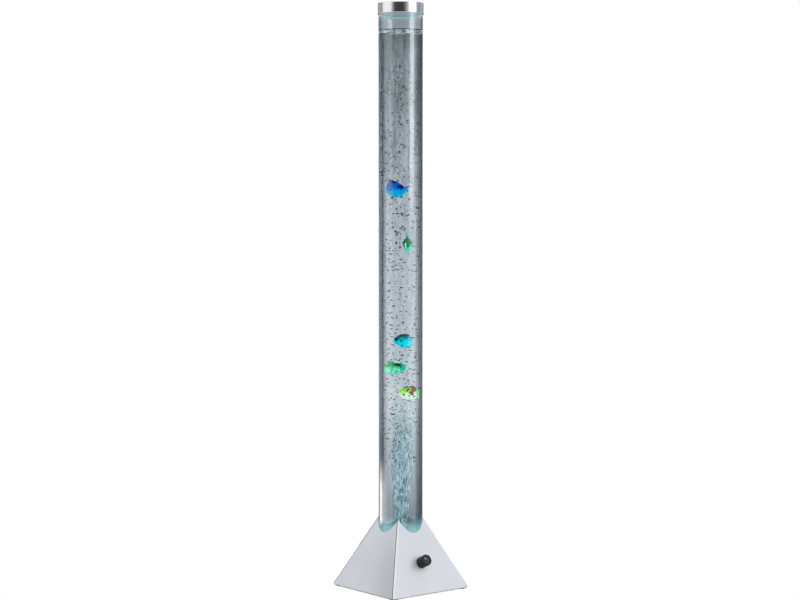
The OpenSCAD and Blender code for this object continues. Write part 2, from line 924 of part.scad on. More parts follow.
// Outlines as fractions of the fish's length and height
raised_back = [
    [-0.34, 0.1], [-0.33, 0.3], [-0.38, 0.5], [-0.2, 0.48], [0, 0.38], [0.14, 0.28], [0.28, 0.17],
    [0.3, 0.03]
];
deep_back = [
    [-0.3, 0.12], [-0.39, 0.24], [-0.3, 0.27], [-0.29, 0.39], [-0.2, 0.37], [-0.14, 0.48],
    [-0.05, 0.44], [0.04, 0.5], [0.2, 0.48], [0.36, 0.44], [0.42, 0.28], [0.34, 0.12], [0.27, 0.03]
];
humped_back = [
    [-0.28, 0.12], [-0.28, 0.25], [-0.18, 0.26], [-0.08, 0.32], [0.02, 0.31], [0.1, 0.43],
    [0.2, 0.5], [0.33, 0.46], [0.37, 0.3], [0.32, 0.1], [0.27, 0.03]
];
short_back = [
    [-0.4, 0.05], [-0.45, 0.14], [-0.4, 0.27], [-0.31, 0.3], [-0.28, 0.4], [-0.18, 0.38],
    [-0.12, 0.48], [-0.03, 0.45], [0.06, 0.5], [0.19, 0.48], [0.27, 0.34], [0.28, 0.12], [0.24, 0.03]
];
belly_front = [[-0.24, -0.16], [-0.26, -0.46], [-0.15, -0.5], [-0.08, -0.2]];
belly_rear = [[0.02, -0.14], [0.06, -0.42], [0.16, -0.38], [0.25, -0.03]];
keeled_belly = [
    [-0.24, -0.16], [-0.27, -0.44], [-0.2, -0.5], [-0.14, -0.43], [0, -0.4], [0.1, -0.4],
    [0.18, -0.44], [0.24, -0.37], [0.3, -0.24], [0.38, -0.14], [0.3, -0.03]
];
deep_belly = [
    [-0.28, -0.12], [-0.24, -0.3], [-0.15, -0.45], [0, -0.48], [0.12, -0.5], [0.31, -0.48],
    [0.43, -0.42], [0.36, -0.14], [0.27, -0.03]
];
humped_belly = [
    [-0.32, -0.12], [-0.31, -0.27], [-0.15, -0.4], [0, -0.45], [0.13, -0.5], [0.27, -0.48],
    [0.38, -0.42], [0.36, -0.12], [0.27, -0.03]
];
short_belly = [
    [-0.4, -0.05], [-0.46, -0.18], [-0.38, -0.36], [-0.22, -0.46], [0, -0.49], [0.19, -0.5],
    [0.28, -0.43], [0.29, -0.2], [0.25, -0.05]
];
fan_tail = [
    [0.28, 0.03], [0.38, 0.19], [0.47, 0.24], [0.5, 0.1], [0.5, -0.1], [0.47, -0.24],
    [0.38, -0.19], [0.28, -0.03]
];
forked_tail = [
    [0.28, 0.03], [0.4, 0.15], [0.5, 0.17], [0.44, 0.02], [0.5, -0.14], [0.4, -0.12], [0.28, -0.03]
];
wide_tail = [
    [0.28, 0.03], [0.38, 0.34], [0.45, 0.38], [0.5, 0.2], [0.5, -0.2], [0.48, -0.42],
    [0.38, -0.44], [0.28, -0.03]
];
blunt_tail = [
    [0.28, 0.03], [0.38, 0.17], [0.48, 0.2], [0.5, 0.05], [0.5, -0.16], [0.48, -0.31],
    [0.39, -0.4], [0.28, -0.03]
];
round_tail = [
    [0.28, 0.04], [0.34, 0.15], [0.42, 0.15], [0.48, 0.06], [0.5, -0.09], [0.49, -0.24],
    [0.43, -0.36], [0.33, -0.42], [0.25, -0.05]
];

module fish(at, heading, size, fins) {
    translate(at)
        rotate([0, 0, heading])
            union() {
                fish_body(size);
                for (outline = fins)
                    fin(outline, size);
            }
}

module fish_1() {
    fins = [raised_back, keeled_belly, forked_tail];
    color("deepskyblue") fish(fish_1_at, look_angle, fish_1_size, fins);
}

module fish_2() {
    fins = [raised_back, belly_front, belly_rear, fan_tail];
    color("mediumseagreen") fish(fish_2_at, look_angle + 80, fish_2_size, fins);
}

module fish_3() {
    fins = [deep_back, deep_belly, wide_tail];
    color("turquoise") fish(fish_3_at, look_angle, fish_3_size, fins);
}

module fish_4() {
    fins = [humped_back, humped_belly, blunt_tail];
    color("limegreen") fish(fish_4_at, look_angle + 180, fish_4_size, fins);
}

module fish_5() {
    fins = [short_back, short_belly, round_tail];
    color("yellowgreen") fish(fish_5_at, look_angle, fish_5_size, fins);
}

pyramid_shell();
corner_posts();
base_plate();
base_screws();
rubber_feet();
tube_seat();
seat_pillars();
pillar_screws();
tube_gasket();
water_tube();
tube_bottom();
air_nozzle();
nozzle_nut();
nozzle_seal();
air_stone();
air_hose_lower();
check_valve();
air_hose_upper();
pump_case();
pump_lid();
pump_screws();
pump_mounts();
pump_core();
pump_coil();
pump_pivot();
pump_arm();
pump_magnet();
pump_diaphragm();
pump_valve_block();
led_board();
led_chips();
led_standoffs();
led_screws();
control_board();
board_standoffs();
board_capacitors();
board_heatsink();
board_terminals();
board_chips();
control_housing();
control_wiper();
control_shaft();
control_nut();
knob();
knob_insert();
dc_jack();
jack_pin();
jack_nut();
jack_leads();
control_leads();
led_leads();
pump_leads();
top_cap();
cap_plug();
fish_1();
fish_2();
fish_3();
fish_4();
fish_5();
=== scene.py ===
# %% [markdown]
# # Bubble tube floor lamp
# The lamp is a clear tube of water about 1.2 m tall, with moulded plastic fish drifting in it, a brushed
# chrome cap on top and a silver sheet pyramid at the foot. The pyramid hides an air pump and a ring of
# lights. The working model is already packed, so this file only dresses it: it loads the frame, gives
# every piece its finish, and builds finer meshes where the working solids are too plain.
# Everything is in metres, in the frame's own coordinates.

# %% Load the frame
import json
import math

import bmesh
import bpy
from mathutils import Matrix, Vector

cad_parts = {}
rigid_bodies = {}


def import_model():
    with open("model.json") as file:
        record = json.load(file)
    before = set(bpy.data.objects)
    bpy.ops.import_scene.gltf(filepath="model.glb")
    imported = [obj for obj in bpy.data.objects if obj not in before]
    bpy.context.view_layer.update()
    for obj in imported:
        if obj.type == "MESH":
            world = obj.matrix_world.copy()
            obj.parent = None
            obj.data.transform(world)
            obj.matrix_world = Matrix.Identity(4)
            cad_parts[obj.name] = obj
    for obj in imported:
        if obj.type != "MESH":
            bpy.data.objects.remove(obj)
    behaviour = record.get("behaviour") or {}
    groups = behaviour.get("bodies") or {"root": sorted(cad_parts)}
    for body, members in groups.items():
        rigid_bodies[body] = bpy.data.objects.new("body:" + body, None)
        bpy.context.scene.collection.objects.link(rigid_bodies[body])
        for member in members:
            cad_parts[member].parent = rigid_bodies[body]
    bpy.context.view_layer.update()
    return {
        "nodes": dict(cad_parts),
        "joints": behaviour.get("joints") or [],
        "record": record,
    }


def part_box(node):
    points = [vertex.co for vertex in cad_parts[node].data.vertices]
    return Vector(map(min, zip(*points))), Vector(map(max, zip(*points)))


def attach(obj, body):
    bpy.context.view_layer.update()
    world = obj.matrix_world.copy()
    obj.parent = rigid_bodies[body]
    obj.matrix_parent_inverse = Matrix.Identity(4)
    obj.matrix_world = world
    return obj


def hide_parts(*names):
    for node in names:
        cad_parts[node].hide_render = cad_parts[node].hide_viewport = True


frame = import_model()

# %% [markdown]
# ## The view
# The camera stands level with the upper part of the tube, about 4 m away, and looks down a little. One
# vertical fold of the pyramid points almost straight at it. Two unit vectors are worth naming, because
# the fish and the studio's lights are placed by them: one from the lamp towards the camera, and one to
# the right in the picture.

# %% Camera
MM = 0.001
look_azimuth = math.radians(-38.81)
toward_camera = Vector((math.sin(look_azimuth), -math.cos(look_azimuth), 0))
to_right = Vector((math.cos(look_azimuth), math.sin(look_azimuth), 0))
camera_distance = 3.998
camera_height = 0.833
camera_pitch = math.radians(3.48)
camera_shift_left = 1.33 * MM


def around(right, toward, up):
    """A place given by the picture's directions: right, towards the camera and up."""
    return to_right * right + toward_camera * toward + Vector((0, 0, up))


camera = bpy.data.objects.new("camera", bpy.data.cameras.new("camera"))
camera.data.sensor_width = 36
camera.data.lens = 88.56
camera.location = around(-camera_shift_left, camera_distance, camera_height)
look = -toward_camera * math.cos(camera_pitch) - Vector((0, 0, math.sin(camera_pitch)))
camera.rotation_mode = "QUATERNION"
camera.rotation_quaternion = look.to_track_quat("-Z", "Y")
bpy.context.scene.collection.objects.link(camera)
bpy.context.scene.camera = camera
print("camera at", [round(x, 3) for x in camera.location])

# %% [markdown]
# ## Writing nodes as sums
# Shader and geometry trees are long when every Math node is made by hand. The small class below wraps
# one output socket. Python's own operators on it add the Math nodes, and its add method makes any other
# node from its settings, which are set first, and the values or links of its sockets. Most materials
# here are one principled shader with such signals in its sockets, so two functions open and close them.

# %% Signal
class Signal:
    """One output socket of a node tree, with arithmetic."""

    def __init__(self, tree, socket=None):
        self.tree = tree
        self.socket = socket

    def add(self, kind, settings=None, values=None, out=0):
        node = self.tree.nodes.new(kind)
        for name, value in (settings or {}).items():
            if name == "stops":
                self.set_stops(node.color_ramp, value)
            else:
                setattr(node, name, value)
        for name, value in (values or {}).items():
            if isinstance(value, Signal):
                self.tree.links.new(value.socket, node.inputs[name])
            else:
                node.inputs[name].default_value = value
        return Signal(self.tree, node.outputs[out] if len(node.outputs) else None)

    @staticmethod
    def set_stops(ramp, stops):
        while len(ramp.elements) < len(stops):
            ramp.elements.new(1.0)
        for element, (place, colour) in zip(ramp.elements, stops):
            element.position = place
            element.color = rgba(colour)

    def output(self, name):
        return Signal(self.tree, self.socket.node.outputs[name])

    def part(self, axis):
        """One coordinate of this vector."""
        return self.add("ShaderNodeSeparateXYZ", values={0: self}).output(axis)

    def vector(self, x, y, z):
        return self.add("ShaderNodeCombineXYZ", values={"X": x, "Y": y, "Z": z})

    def calc(self, operation, *values):
        return self.add("ShaderNodeMath", {"operation": operation}, dict(enumerate(values)))

    def __add__(self, other):
        return self.calc("ADD", self, other)

    def __sub__(self, other):
        return self.calc("SUBTRACT", self, other)

    def __mul__(self, other):
        return self.calc("MULTIPLY", self, other)

    def __truediv__(self, other):
        return self.calc("DIVIDE", self, other)

    def __pow__(self, other):
        return self.calc("POWER", self, other)

    def __gt__(self, other):
        return self.calc("GREATER_THAN", self, other)

    def __lt__(self, other):
        return self.calc("LESS_THAN", self, other)

    def __radd__(self, other):
        return self.calc("ADD", other, self)

    def __rsub__(self, other):
        return self.calc("SUBTRACT", other, self)

    def __rmul__(self, other):
        return self.calc("MULTIPLY", other, self)

    def absolute(self):
        return self.calc("ABSOLUTE", self)

    def step(self, low, high):
        """0 below low, 1 above high, and smooth between them."""
        values = {"Value": self, "From Min": low, "From Max": high}
        return self.add("ShaderNodeMapRange", {"interpolation_type": "SMOOTHSTEP"}, values)

    def between(self, first, second):
        """first where this signal is 0, second where it is 1, for numbers."""
        return self.add("ShaderNodeMix", {"data_type": "FLOAT"}, {0: self, 2: first, 3: second})

    def blend(self, first, second):
        """first where this signal is 0, second where it is 1, for colours or signals."""
        first, second = (end if isinstance(end, Signal) else rgba(end) for end in (first, second))
        return self.add("ShaderNodeMix", {"data_type": "RGBA"}, {0: self, 6: first, 7: second}, out=2)

    def ramp(self, *stops):
        return self.add("ShaderNodeValToRGB", {"stops": stops}, {"Fac": self})

    def scaled(self, amount):
        """This colour or vector, times a number."""
        return self.add("ShaderNodeVectorMath", {"operation": "SCALE"}, {0: self, "Scale": amount})


def rgba(colour):
    """A colour with its alpha, from a grey value or three numbers."""
    if isinstance(colour, (int, float)):
        colour = (colour, colour, colour)
    return (*colour[:3], 1.0)


def fresh(name):
    """A new material with an empty tree, and the signal to build it from."""
    material = bpy.data.materials.new(name)
    material.use_nodes = True
    material.node_tree.nodes.clear()
    return material, Signal(material.node_tree)


def close(web, shader):
    web.add("ShaderNodeOutputMaterial", values={"Surface": shader})


def surfaced(material, web, values):
    """The material, ended with one principled shader that has these values."""
    close(web, web.add("ShaderNodeBsdfPrincipled", values=values))
    return material


print("node helper ready")

# %% [markdown]
# ## The studio
# The picture is a cut-out on pure white, but what the chrome and the water mirror is a room: dark behind
# the camera, one tall soft light at each side, and a grey wall behind. So the world shows white to the
# camera, and this room to every reflected or refracted ray. The room is drawn as a brightness for each
# compass direction, seen from the lamp: 0 is towards the camera, and positive degrees turn to the right.
# The water is a strong lens, so its left edge shows what stands at the back right, and the dark entries
# near 148 and -130 degrees become the dark lines inside the tube's edges. Higher up there are a pale
# ceiling and a dimmer top to the wall behind. A white card low at the left back makes the streak near the
# tube's lower end. It is there for mirrored rays only, so it doesn't show through the water.
#
# Light changes softly from one area to the next, so each border is a pair: where a smooth step begins
# and where it ends. A border to the left or right is in degrees, and one below or above in sines of the
# angle over the horizon. The back wall begins by how far a direction points away from the camera.

# %% World
wall = [
    (-180, 0.9), (-161, 0.88), (-156, 0.66), (-151, 0.48), (-147, 0.3), (-143, 0.16), (-138, 0.1),
    (-118, 0.09), (-110, 0.26), (-104, 0.4), (-98, 1.12), (-50, 1.12), (-44, 0.5), (-34, 0.06),
    (-26, 0.012), (0, 0.012), (14, 0.012), (22, 0.1), (38, 0.6), (48, 1.3), (84, 1.3), (90, 0.4),
    (104, 0.26), (130, 0.3), (136, 0.38), (141, 0.32), (145, 0.11), (150, 0.11), (154, 0.4), (160, 0.8),
    (166, 0.9), (180, 0.9),
]
low_card = [(-143, 0.0), (-138, 6.0), (-126, 8.6), (-106, 6.0), (-90, 3.8), (-82, 2.2), (-69, 0.0)]
card_scale = 10
card_low, card_high = (-0.1745, -0.1705), (-0.159, -0.138)

back_wall = (-0.75, -0.5)
wall_top, wall_top_light = (0.052, 0.088), 0.3
low_left, low_left_dim = (-0.178, -0.158), 0.3
edge_from, edge_low, edge_dim = (-160, -146), (-0.174, -0.158), 0.9

sides_from, sides_to, sides_low = (104, 112), (146, 152), (0.081, 0.084)
sides_light, sides_gain, sides_gain_over = 0.5, 0.3, (118, 141)

softbox_light = 5.0
softbox_from, softbox_to = (48, 52), (70, 78)
softbox_low, softbox_high = (-0.035, 0.03), (0.12, 0.17)
softbox_fade, softbox_fade_over = 0.6, (0.066, 0.09)

ceiling, ceiling_light, ceiling_slant = (0.2, 0.4), 1.08, 0.03

world = bpy.data.worlds.new("studio")
world.use_nodes = True
world.node_tree.nodes.clear()
bpy.context.scene.world = world
web = Signal(world.node_tree)
direction = web.add("ShaderNodeTexCoord", out="Generated")
x, y, up = (direction.part(axis) for axis in "XYZ")
across = x * to_right.x + y * to_right.y
toward = x * toward_camera.x + y * toward_camera.y
turn = web.calc("ARCTAN2", across, toward) * (180 / math.pi)
left_side = (turn / 180 + 1).ramp(*[(degrees / 180 + 1, light) for degrees, light in wall if degrees <= 0])
right_side = (turn / 180).ramp(*[(degrees / 180, light) for degrees, light in wall if degrees >= 0])
room = (turn > 0).between(left_side, right_side)
behind = 1 - toward.step(*back_wall)
room = room * (1 - behind * up.step(*wall_top) * (1 - wall_top_light))
room = room * (1 - behind * (turn < 0) * (1 - up.step(*low_left)) * low_left_dim)
sides = turn.absolute()
upper_sides = sides.step(*sides_from) * (1 - sides.step(*sides_to)) * up.step(*sides_low)
room = upper_sides.between(room, sides_light + sides.step(*sides_gain_over) * sides_gain)
softbox = turn.step(*softbox_from) * (1 - turn.step(*softbox_to))
softbox = softbox * up.step(*softbox_low) * (1 - up.step(*softbox_fade_over) * softbox_fade)
softbox = softbox * (1 - up.step(*softbox_high))
card = (turn / 180 + 1).ramp(*[(degrees / 180 + 1, light / card_scale) for degrees, light in low_card])
card = card * card_scale * (turn < 0) * (1 - up.step(*card_high)) * up.step(*card_low)
seen = web.add("ShaderNodeLightPath", out="Is Camera Ray")
mirrored = 1 - seen.output("Is Transmission Ray")
edge_line = (1 - turn.step(*edge_from)) * (1 - up.step(*edge_low)) * mirrored
room = room * (1 - edge_line * edge_dim) + softbox * softbox_light + card * mirrored
room = up.step(*ceiling).between(room, ceiling_light - across * ceiling_slant)
light = web.add("ShaderNodeBackground", values={"Color": rgba(1.0), "Strength": seen.between(room, 1.0)})
web.add("ShaderNodeOutputWorld", values={"Surface": light})
bpy.context.scene.view_settings.view_transform = "Standard"
bpy.context.scene.cycles.max_bounces = 20
bpy.context.scene.cycles.transmission_bounces = 20
bpy.context.scene.cycles.transparent_max_bounces = 16
bpy.context.scene.cycles.caustics_reflective = False
print("world: room drawn with", len(wall), "directions")

# %% [markdown]
# The floor is plain and white. It is a small sheet, because the water would otherwise bend the view down
# onto it and lose the dark lines at its edges. One large key light brightens the fish and the cover. It
# isn't mirrored in the tube.

# %% Floor and lamps
def floor_finish():
    material, web = fresh("pale_floor")
    lit = web.add("ShaderNodeBsdfDiffuse", values={"Color": rgba(0.9)})
    glow = web.add("ShaderNodeEmission", values={"Color": rgba(1.0), "Strength": 0.6})
    shown = web.add("ShaderNodeAddShader", values={0: lit, 1: glow})
    mirrored = web.add("ShaderNodeEmission", values={"Color": rgba(0.55), "Strength": 1.0})
    seen = web.add("ShaderNodeLightPath", out="Is Camera Ray")
    close(web, web.add("ShaderNodeMixShader", values={0: seen, 1: mirrored, 2: shown}))
    return material


def soft_light(name, place, aim, size, power):
    """A large soft lamp that is seen neither directly, nor through the water, nor mirrored."""
    data = bpy.data.lights.new(name, "AREA")
    data.shape = "RECTANGLE"
    data.size, data.size_y = size
    data.energy = power
    lamp = bpy.data.objects.new(name, data)
    lamp.location = place
    lamp.rotation_mode = "QUATERNION"
    lamp.rotation_quaternion = (Vector(aim) - Vector(place)).to_track_quat("-Z", "Y")
    lamp.visible_camera = False
    lamp.visible_transmission = False
    lamp.visible_glossy = False
    bpy.context.scene.collection.objects.link(lamp)


floor_mesh = bpy.data.meshes.new("floor")
floor_half = 0.42
corners = [(x * floor_half, y * floor_half, 0) for x, y in ((-1, -1), (1, -1), (1, 1), (-1, 1))]
floor_mesh.from_pydata(corners, [], [(0, 1, 2, 3)])
floor = bpy.data.objects.new("floor", floor_mesh)
floor.data.materials.append(floor_finish())
bpy.context.scene.collection.objects.link(floor)
soft_light("key", place=around(0.75, 2.2, 1.7), aim=(0, 0, 0.6), size=(2.8, 2.4), power=28)
print("floor", 2 * floor_half, "m across, and", len(bpy.data.lights), "soft lights")

# %% [markdown]
# ## Finishes that most parts share
# Nothing on the real lamp is one flat colour. Sheet has a faint brushed drift, moulded plastic has a
# fine grain, plating is cloudy, and everything varies a little in gloss. One function makes that kind of
# finish from two noises in object coordinates: a slow one for drift and a fine one for grain. A stretch
# that is small along one axis draws the grain out into brush lines along it.

# %% Shared finish
def place_on(web, stretch=(1, 1, 1), source="Object"):
    place = web.add("ShaderNodeTexCoord", out=source)
    return web.add("ShaderNodeMapping", values={"Vector": place, "Scale": stretch})


def noise(web, place, scale, detail=3.0, distortion=0.0):
    values = {"Vector": place, "Scale": scale, "Detail": detail, "Distortion": distortion}
    return web.add("ShaderNodeTexNoise", values=values)


def relief(web, height, depth, strength=1.0):
    """A bump of this depth in metres."""
    return web.add("ShaderNodeBump", values={"Height": height, "Distance": depth, "Strength": strength})


def finish(name, colour, roughness, metallic=0.0, grain=900.0, stretch=(1, 1, 1), drift=0.07,
           gloss_drift=0.1, depth=0.03 * MM):
    """A finish whose colour and gloss drift slowly, with a fine grain on top."""
    material, web = fresh(name)
    fine = noise(web, place_on(web, stretch), grain)
    slow = noise(web, place_on(web), 28.0, detail=4.0)
    mottle = slow * 0.6 + fine * 0.4
    return surfaced(material, web, {
        "Base Color": mottle.step(0.3, 0.7).blend(
            [part * (1 - drift) for part in colour], [part * (1 + drift) for part in colour]),
        "Roughness": roughness + (mottle - 0.5) * gloss_drift,
        "Metallic": metallic,
        "Normal": relief(web, fine, depth),
    })


brushed_up = (1, 1, 0.04)
finishes = {
    "plate_sheet": finish("dull_grey_sheet", (0.46, 0.47, 0.49), 0.45, 0.6, stretch=(0.1, 1, 1)),
    "zinc_steel": finish("zinc_plating", (0.62, 0.62, 0.6), 0.34, 1.0, grain=500, drift=0.16),
    "foot_rubber": finish("black_rubber", (0.022, 0.022, 0.025), 0.82, drift=0.2, depth=0.08 * MM),
    "black_plastic": finish("black_moulding", (0.018, 0.019, 0.022), 0.42, grain=1500, drift=0.15),
    "white_plastic": finish("white_moulding", (0.8, 0.82, 0.81), 0.34, drift=0.03),
    "soft_seal": finish("silicone_seal", (0.66, 0.7, 0.7), 0.5, drift=0.05),
    "valve_plastic": finish("green_moulding", (0.1, 0.38, 0.25), 0.3, drift=0.06),
    "magnet": finish("sintered_magnet", (0.1, 0.1, 0.11), 0.55, 0.6, grain=1400, drift=0.2),
    "board_white": finish("white_board", (0.78, 0.8, 0.79), 0.4, drift=0.03),
    "capacitor_sleeve": finish("dark_blue_sleeve", (0.015, 0.022, 0.075), 0.28, drift=0.12),
    "terminal_plastic": finish("green_terminal", (0.03, 0.28, 0.1), 0.4, drift=0.08),
    "heatsink_aluminium": finish("drawn_aluminium", (0.62, 0.63, 0.65), 0.32, 1.0, stretch=brushed_up),
    "gilt_brass": finish("gilt_plating", (0.82, 0.6, 0.25), 0.25, 1.0, drift=0.08),
}
wire_colours = {
    "red": (0.5, 0.025, 0.02), "orange": (0.62, 0.2, 0.02),
    "white": (0.74, 0.74, 0.7), "blue": (0.03, 0.1, 0.45),
}
for name, colour in wire_colours.items():
    finishes[f"wire_{name}"] = finish(f"{name}_insulation", colour, 0.4, drift=0.06, depth=0.01 * MM)
print("shared finishes:", len(finishes))

# %% [markdown]
# A few finishes have a structure of their own: the core is a stack of thin laminations, the winding is
# turn beside turn of enamelled wire, the board shows copper tracks under its green mask, the diffuser is
# a cake of sintered grains, the hose is cloudy vinyl, and the little lamps glow blue-green.

# %% Finishes with a structure
def laminated_steel():
    """Sheets 0.5 mm thick, stacked upwards."""
    material, web = fresh("laminated_steel")
    place = web.add("ShaderNodeTexCoord", out="Object")
    half_sheet = 0.25 * MM
    sheet = web.calc("PINGPONG", place.part("Z"), half_sheet) / half_sheet
    cloud = noise(web, place, 60)
    return surfaced(material, web, {
        "Base Color": (sheet * 0.7 + cloud * 0.3).blend((0.1, 0.1, 0.1), (0.36, 0.36, 0.37)),
        "Metallic": 0.9,
        "Roughness": 0.38 + cloud * 0.15,
        "Normal": relief(web, sheet, 0.08 * MM),
    })


def wound_copper():
    """Wire 0.3 mm thick, wound in flat turns."""
    material, web = fresh("wound_copper")
    place = web.add("ShaderNodeTexCoord", out="Object")
    half_wire = 0.15 * MM
    turn = web.calc("PINGPONG", place.part("Y") + noise(web, place, 90) * 0.02 * MM, half_wire) / half_wire
    return surfaced(material, web, {
        "Base Color": turn.blend((0.16, 0.05, 0.02), (0.62, 0.26, 0.1)),
        "Metallic": 0.8,
        "Roughness": 0.3 + noise(web, place, 400) * 0.1,
        "Coat Weight": 0.6,
        "Normal": relief(web, turn, 0.1 * MM),
    })


def green_board():
    """A green mask over copper tracks: the tracks are the edges of irregular cells."""
    material, web = fresh("green_board")
    place = place_on(web)
    edge = web.add("ShaderNodeTexVoronoi", {"feature": "DISTANCE_TO_EDGE"}, {"Vector": place, "Scale": 130})
    track = 1 - edge.step(0.03, 0.07)
    return surfaced(material, web, {
        "Base Color": track.blend((0.012, 0.12, 0.05), (0.04, 0.26, 0.1)),
        "Roughness": 0.32 + noise(web, place, 600) * 0.08,
        "Normal": relief(web, track, 0.04 * MM),
    })


def sintered_stone():
    material, web = fresh("sintered_stone")
    place = place_on(web)
    grains = web.add("ShaderNodeTexVoronoi", values={"Vector": place, "Scale": 900})
    fine = noise(web, place, 2200)
    return surfaced(material, web, {
        "Base Color": grains.step(0.1, 0.7).blend((0.62, 0.72, 0.74), (0.22, 0.3, 0.33)),
        "Roughness": 0.75 + fine * 0.2,
        "Normal": relief(web, 1 - grains, 0.5 * MM),
    })


def cloudy_vinyl():
    material, web = fresh("cloudy_vinyl")
    cloud = noise(web, place_on(web), 120)
    return surfaced(material, web, {
        "Base Color": cloud.blend((0.66, 0.74, 0.76), (0.78, 0.84, 0.86)),
        "Roughness": 0.22 + cloud * 0.12,
        "Transmission Weight": 0.55,
        "IOR": 1.45,
        "Normal": relief(web, cloud, 0.02 * MM),
    })


def lit_lens():
    """A lamp's clear lens, bright at its tip and dimmer at its skirt."""
    material, web = fresh("lit_lens")
    place = web.add("ShaderNodeTexCoord", out="Object")
    lens_low, lens_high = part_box("led_chips")
    lit = place.part("Z").step(lens_low.z, lens_high.z)
    return surfaced(material, web, {
        "Base Color": lit.blend((0.4, 0.62, 0.62), (0.7, 0.95, 0.95)),
        "Roughness": 0.12 + noise(web, place, 300) * 0.06,
        "Emission Color": lit.blend((0.02, 0.1, 0.1), (0.3, 0.95, 0.95)),
        "Emission Strength": 2.5,
    })


finishes["core_steel"] = laminated_steel()
finishes["coil_copper"] = wound_copper()
finishes["board_green"] = green_board()
finishes["stone"] = sintered_stone()
finishes["hose_vinyl"] = cloudy_vinyl()
finishes["led_lens"] = lit_lens()
print("finishes so far:", len(finishes))

# %% [markdown]
# ## Making new pieces
# A turned part, such as the tube, the cap or the knob, is a profile swept round an axis. A helper spins a
# profile of (radius, height) points in small steps, merges the poles, and marks edges sharper than a
# limit, so curved faces shade smooth and the real corners stay crisp. Each rounded corner has a narrow
# guard ring on both sides. Without it the long wall of the tube would take the slant of its rounded rims
# over its whole height, and bend all that is seen through it. Another helper hangs a finished mesh on its
# body and hides the working solids it stands for.

# %% Helpers for pieces
weld = 0.001 * MM


def smooth(mesh, sharp_angle=35):
    mesh.polygons.foreach_set("use_smooth", [True] * len(mesh.polygons))
    mesh.set_sharp_from_angle(angle=math.radians(sharp_angle))
    return mesh


def mesh_of(name, build, matrix=None):
    """A mesh from a bmesh that the given function fills, with doubles merged and faces turned outwards."""
    bm = bmesh.new()
    build(bm)
    bmesh.ops.remove_doubles(bm, verts=bm.verts, dist=weld)
    bmesh.ops.recalc_face_normals(bm, faces=bm.faces)
    if matrix is not None:
        bm.transform(matrix)
    mesh = bpy.data.meshes.new(name)
    bm.to_mesh(mesh)
    bm.free()
    return mesh


def spin(bm, profile, steps, closed=True):
    """Turns (radius, height) points round the Z axis. A closed profile joins its last point to its first."""
    rings = []
    for radius, height in profile:
        angles = [2 * math.pi * k / steps for k in range(steps)]
        rings.append([bm.verts.new((radius * math.cos(a), radius * math.sin(a), height)) for a in angles])
    pairs = list(zip(rings, rings[1:])) + ([(rings[-1], rings[0])] if closed else [])
    for low, high in pairs:
        for k in range(steps):
            bm.faces.new((low[k], low[(k + 1) % steps], high[(k + 1) % steps], high[k]))


def turned(name, profile, steps, matrix=None, closed=True):
    return smooth(mesh_of(name, lambda bm: spin(bm, profile, steps, closed), matrix))


def rounded(corner, before, after, radius, steps=5, guard=0.05 * MM):
    """An arc's points round a profile's corner, tangent to both of its sides, with a guard at each end."""
    corner, before, after = Vector(corner), Vector(before), Vector(after)
    back, ahead = (before - corner).normalized(), (after - corner).normalized()
    first, last = corner + back * radius, corner + ahead * radius
    points = [tuple(first + back * guard)]
    for k in range(steps + 1):
        t = k / steps
        points.append(tuple((1 - t) ** 2 * first + 2 * t * (1 - t) * corner + t * t * last))
    return points + [tuple(last + ahead * guard)]


def soften(profile, radii):
    """A closed profile with the corners in radii, a dictionary of index to radius, rounded."""
    points = []
    for k, point in enumerate(profile):
        if k in radii:
            points += rounded(point, profile[k - 1], profile[(k + 1) % len(profile)], radii[k])
        else:
            points.append(point)
    return points


def piece(name, mesh, material, body, slot, *nodes):
    """A new piece of the lamp, riding on a body and standing for the named nodes."""
    thing = bpy.data.objects.new(name, mesh)
    bpy.context.scene.collection.objects.link(thing)
    if material is not None:
        mesh.materials.clear()
        mesh.materials.append(material)
    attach(thing, body)
    if nodes:
        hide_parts(*nodes)
    return thing


print("piece helpers ready")

# %% [markdown]
# ## The folded cover
# The foot is silver-lacquered sheet folded into a pyramid, with a round hole for the tube, so that its
# upper edge is four scallops. The working solid already has that shape, but its edges are knife sharp. A
# merged copy with a small bevel keeps the shape and lets each fold catch a thin line of light. The large
# panels are shaded flat and only the small bevel faces smooth, or the panels would look dented. Beside
# each fold one panel laps over the other, so a thin dark seam runs down there: it is painted and sunk by
# its distance from the diagonal plane. Next to it the crest of the fold is painted paler, as a painted
# highlight. The lacquer is satin, with fine flecks of its pigment, and low down beside the front fold it
# is painted darker, as painted shade.

# %% Folded cover
# The crest of each fold is a painted highlight, and the lacquer low down beside the front fold has painted
# shade.
crest_highlight_from, seam_from, seam_to = -3 * MM, 1.1 * MM, 3.4 * MM
painted_shade_beside, painted_shade_in_front, painted_shade_low = (0.0, 0.1), (-0.01, 0.03), (0.03, 0.18)


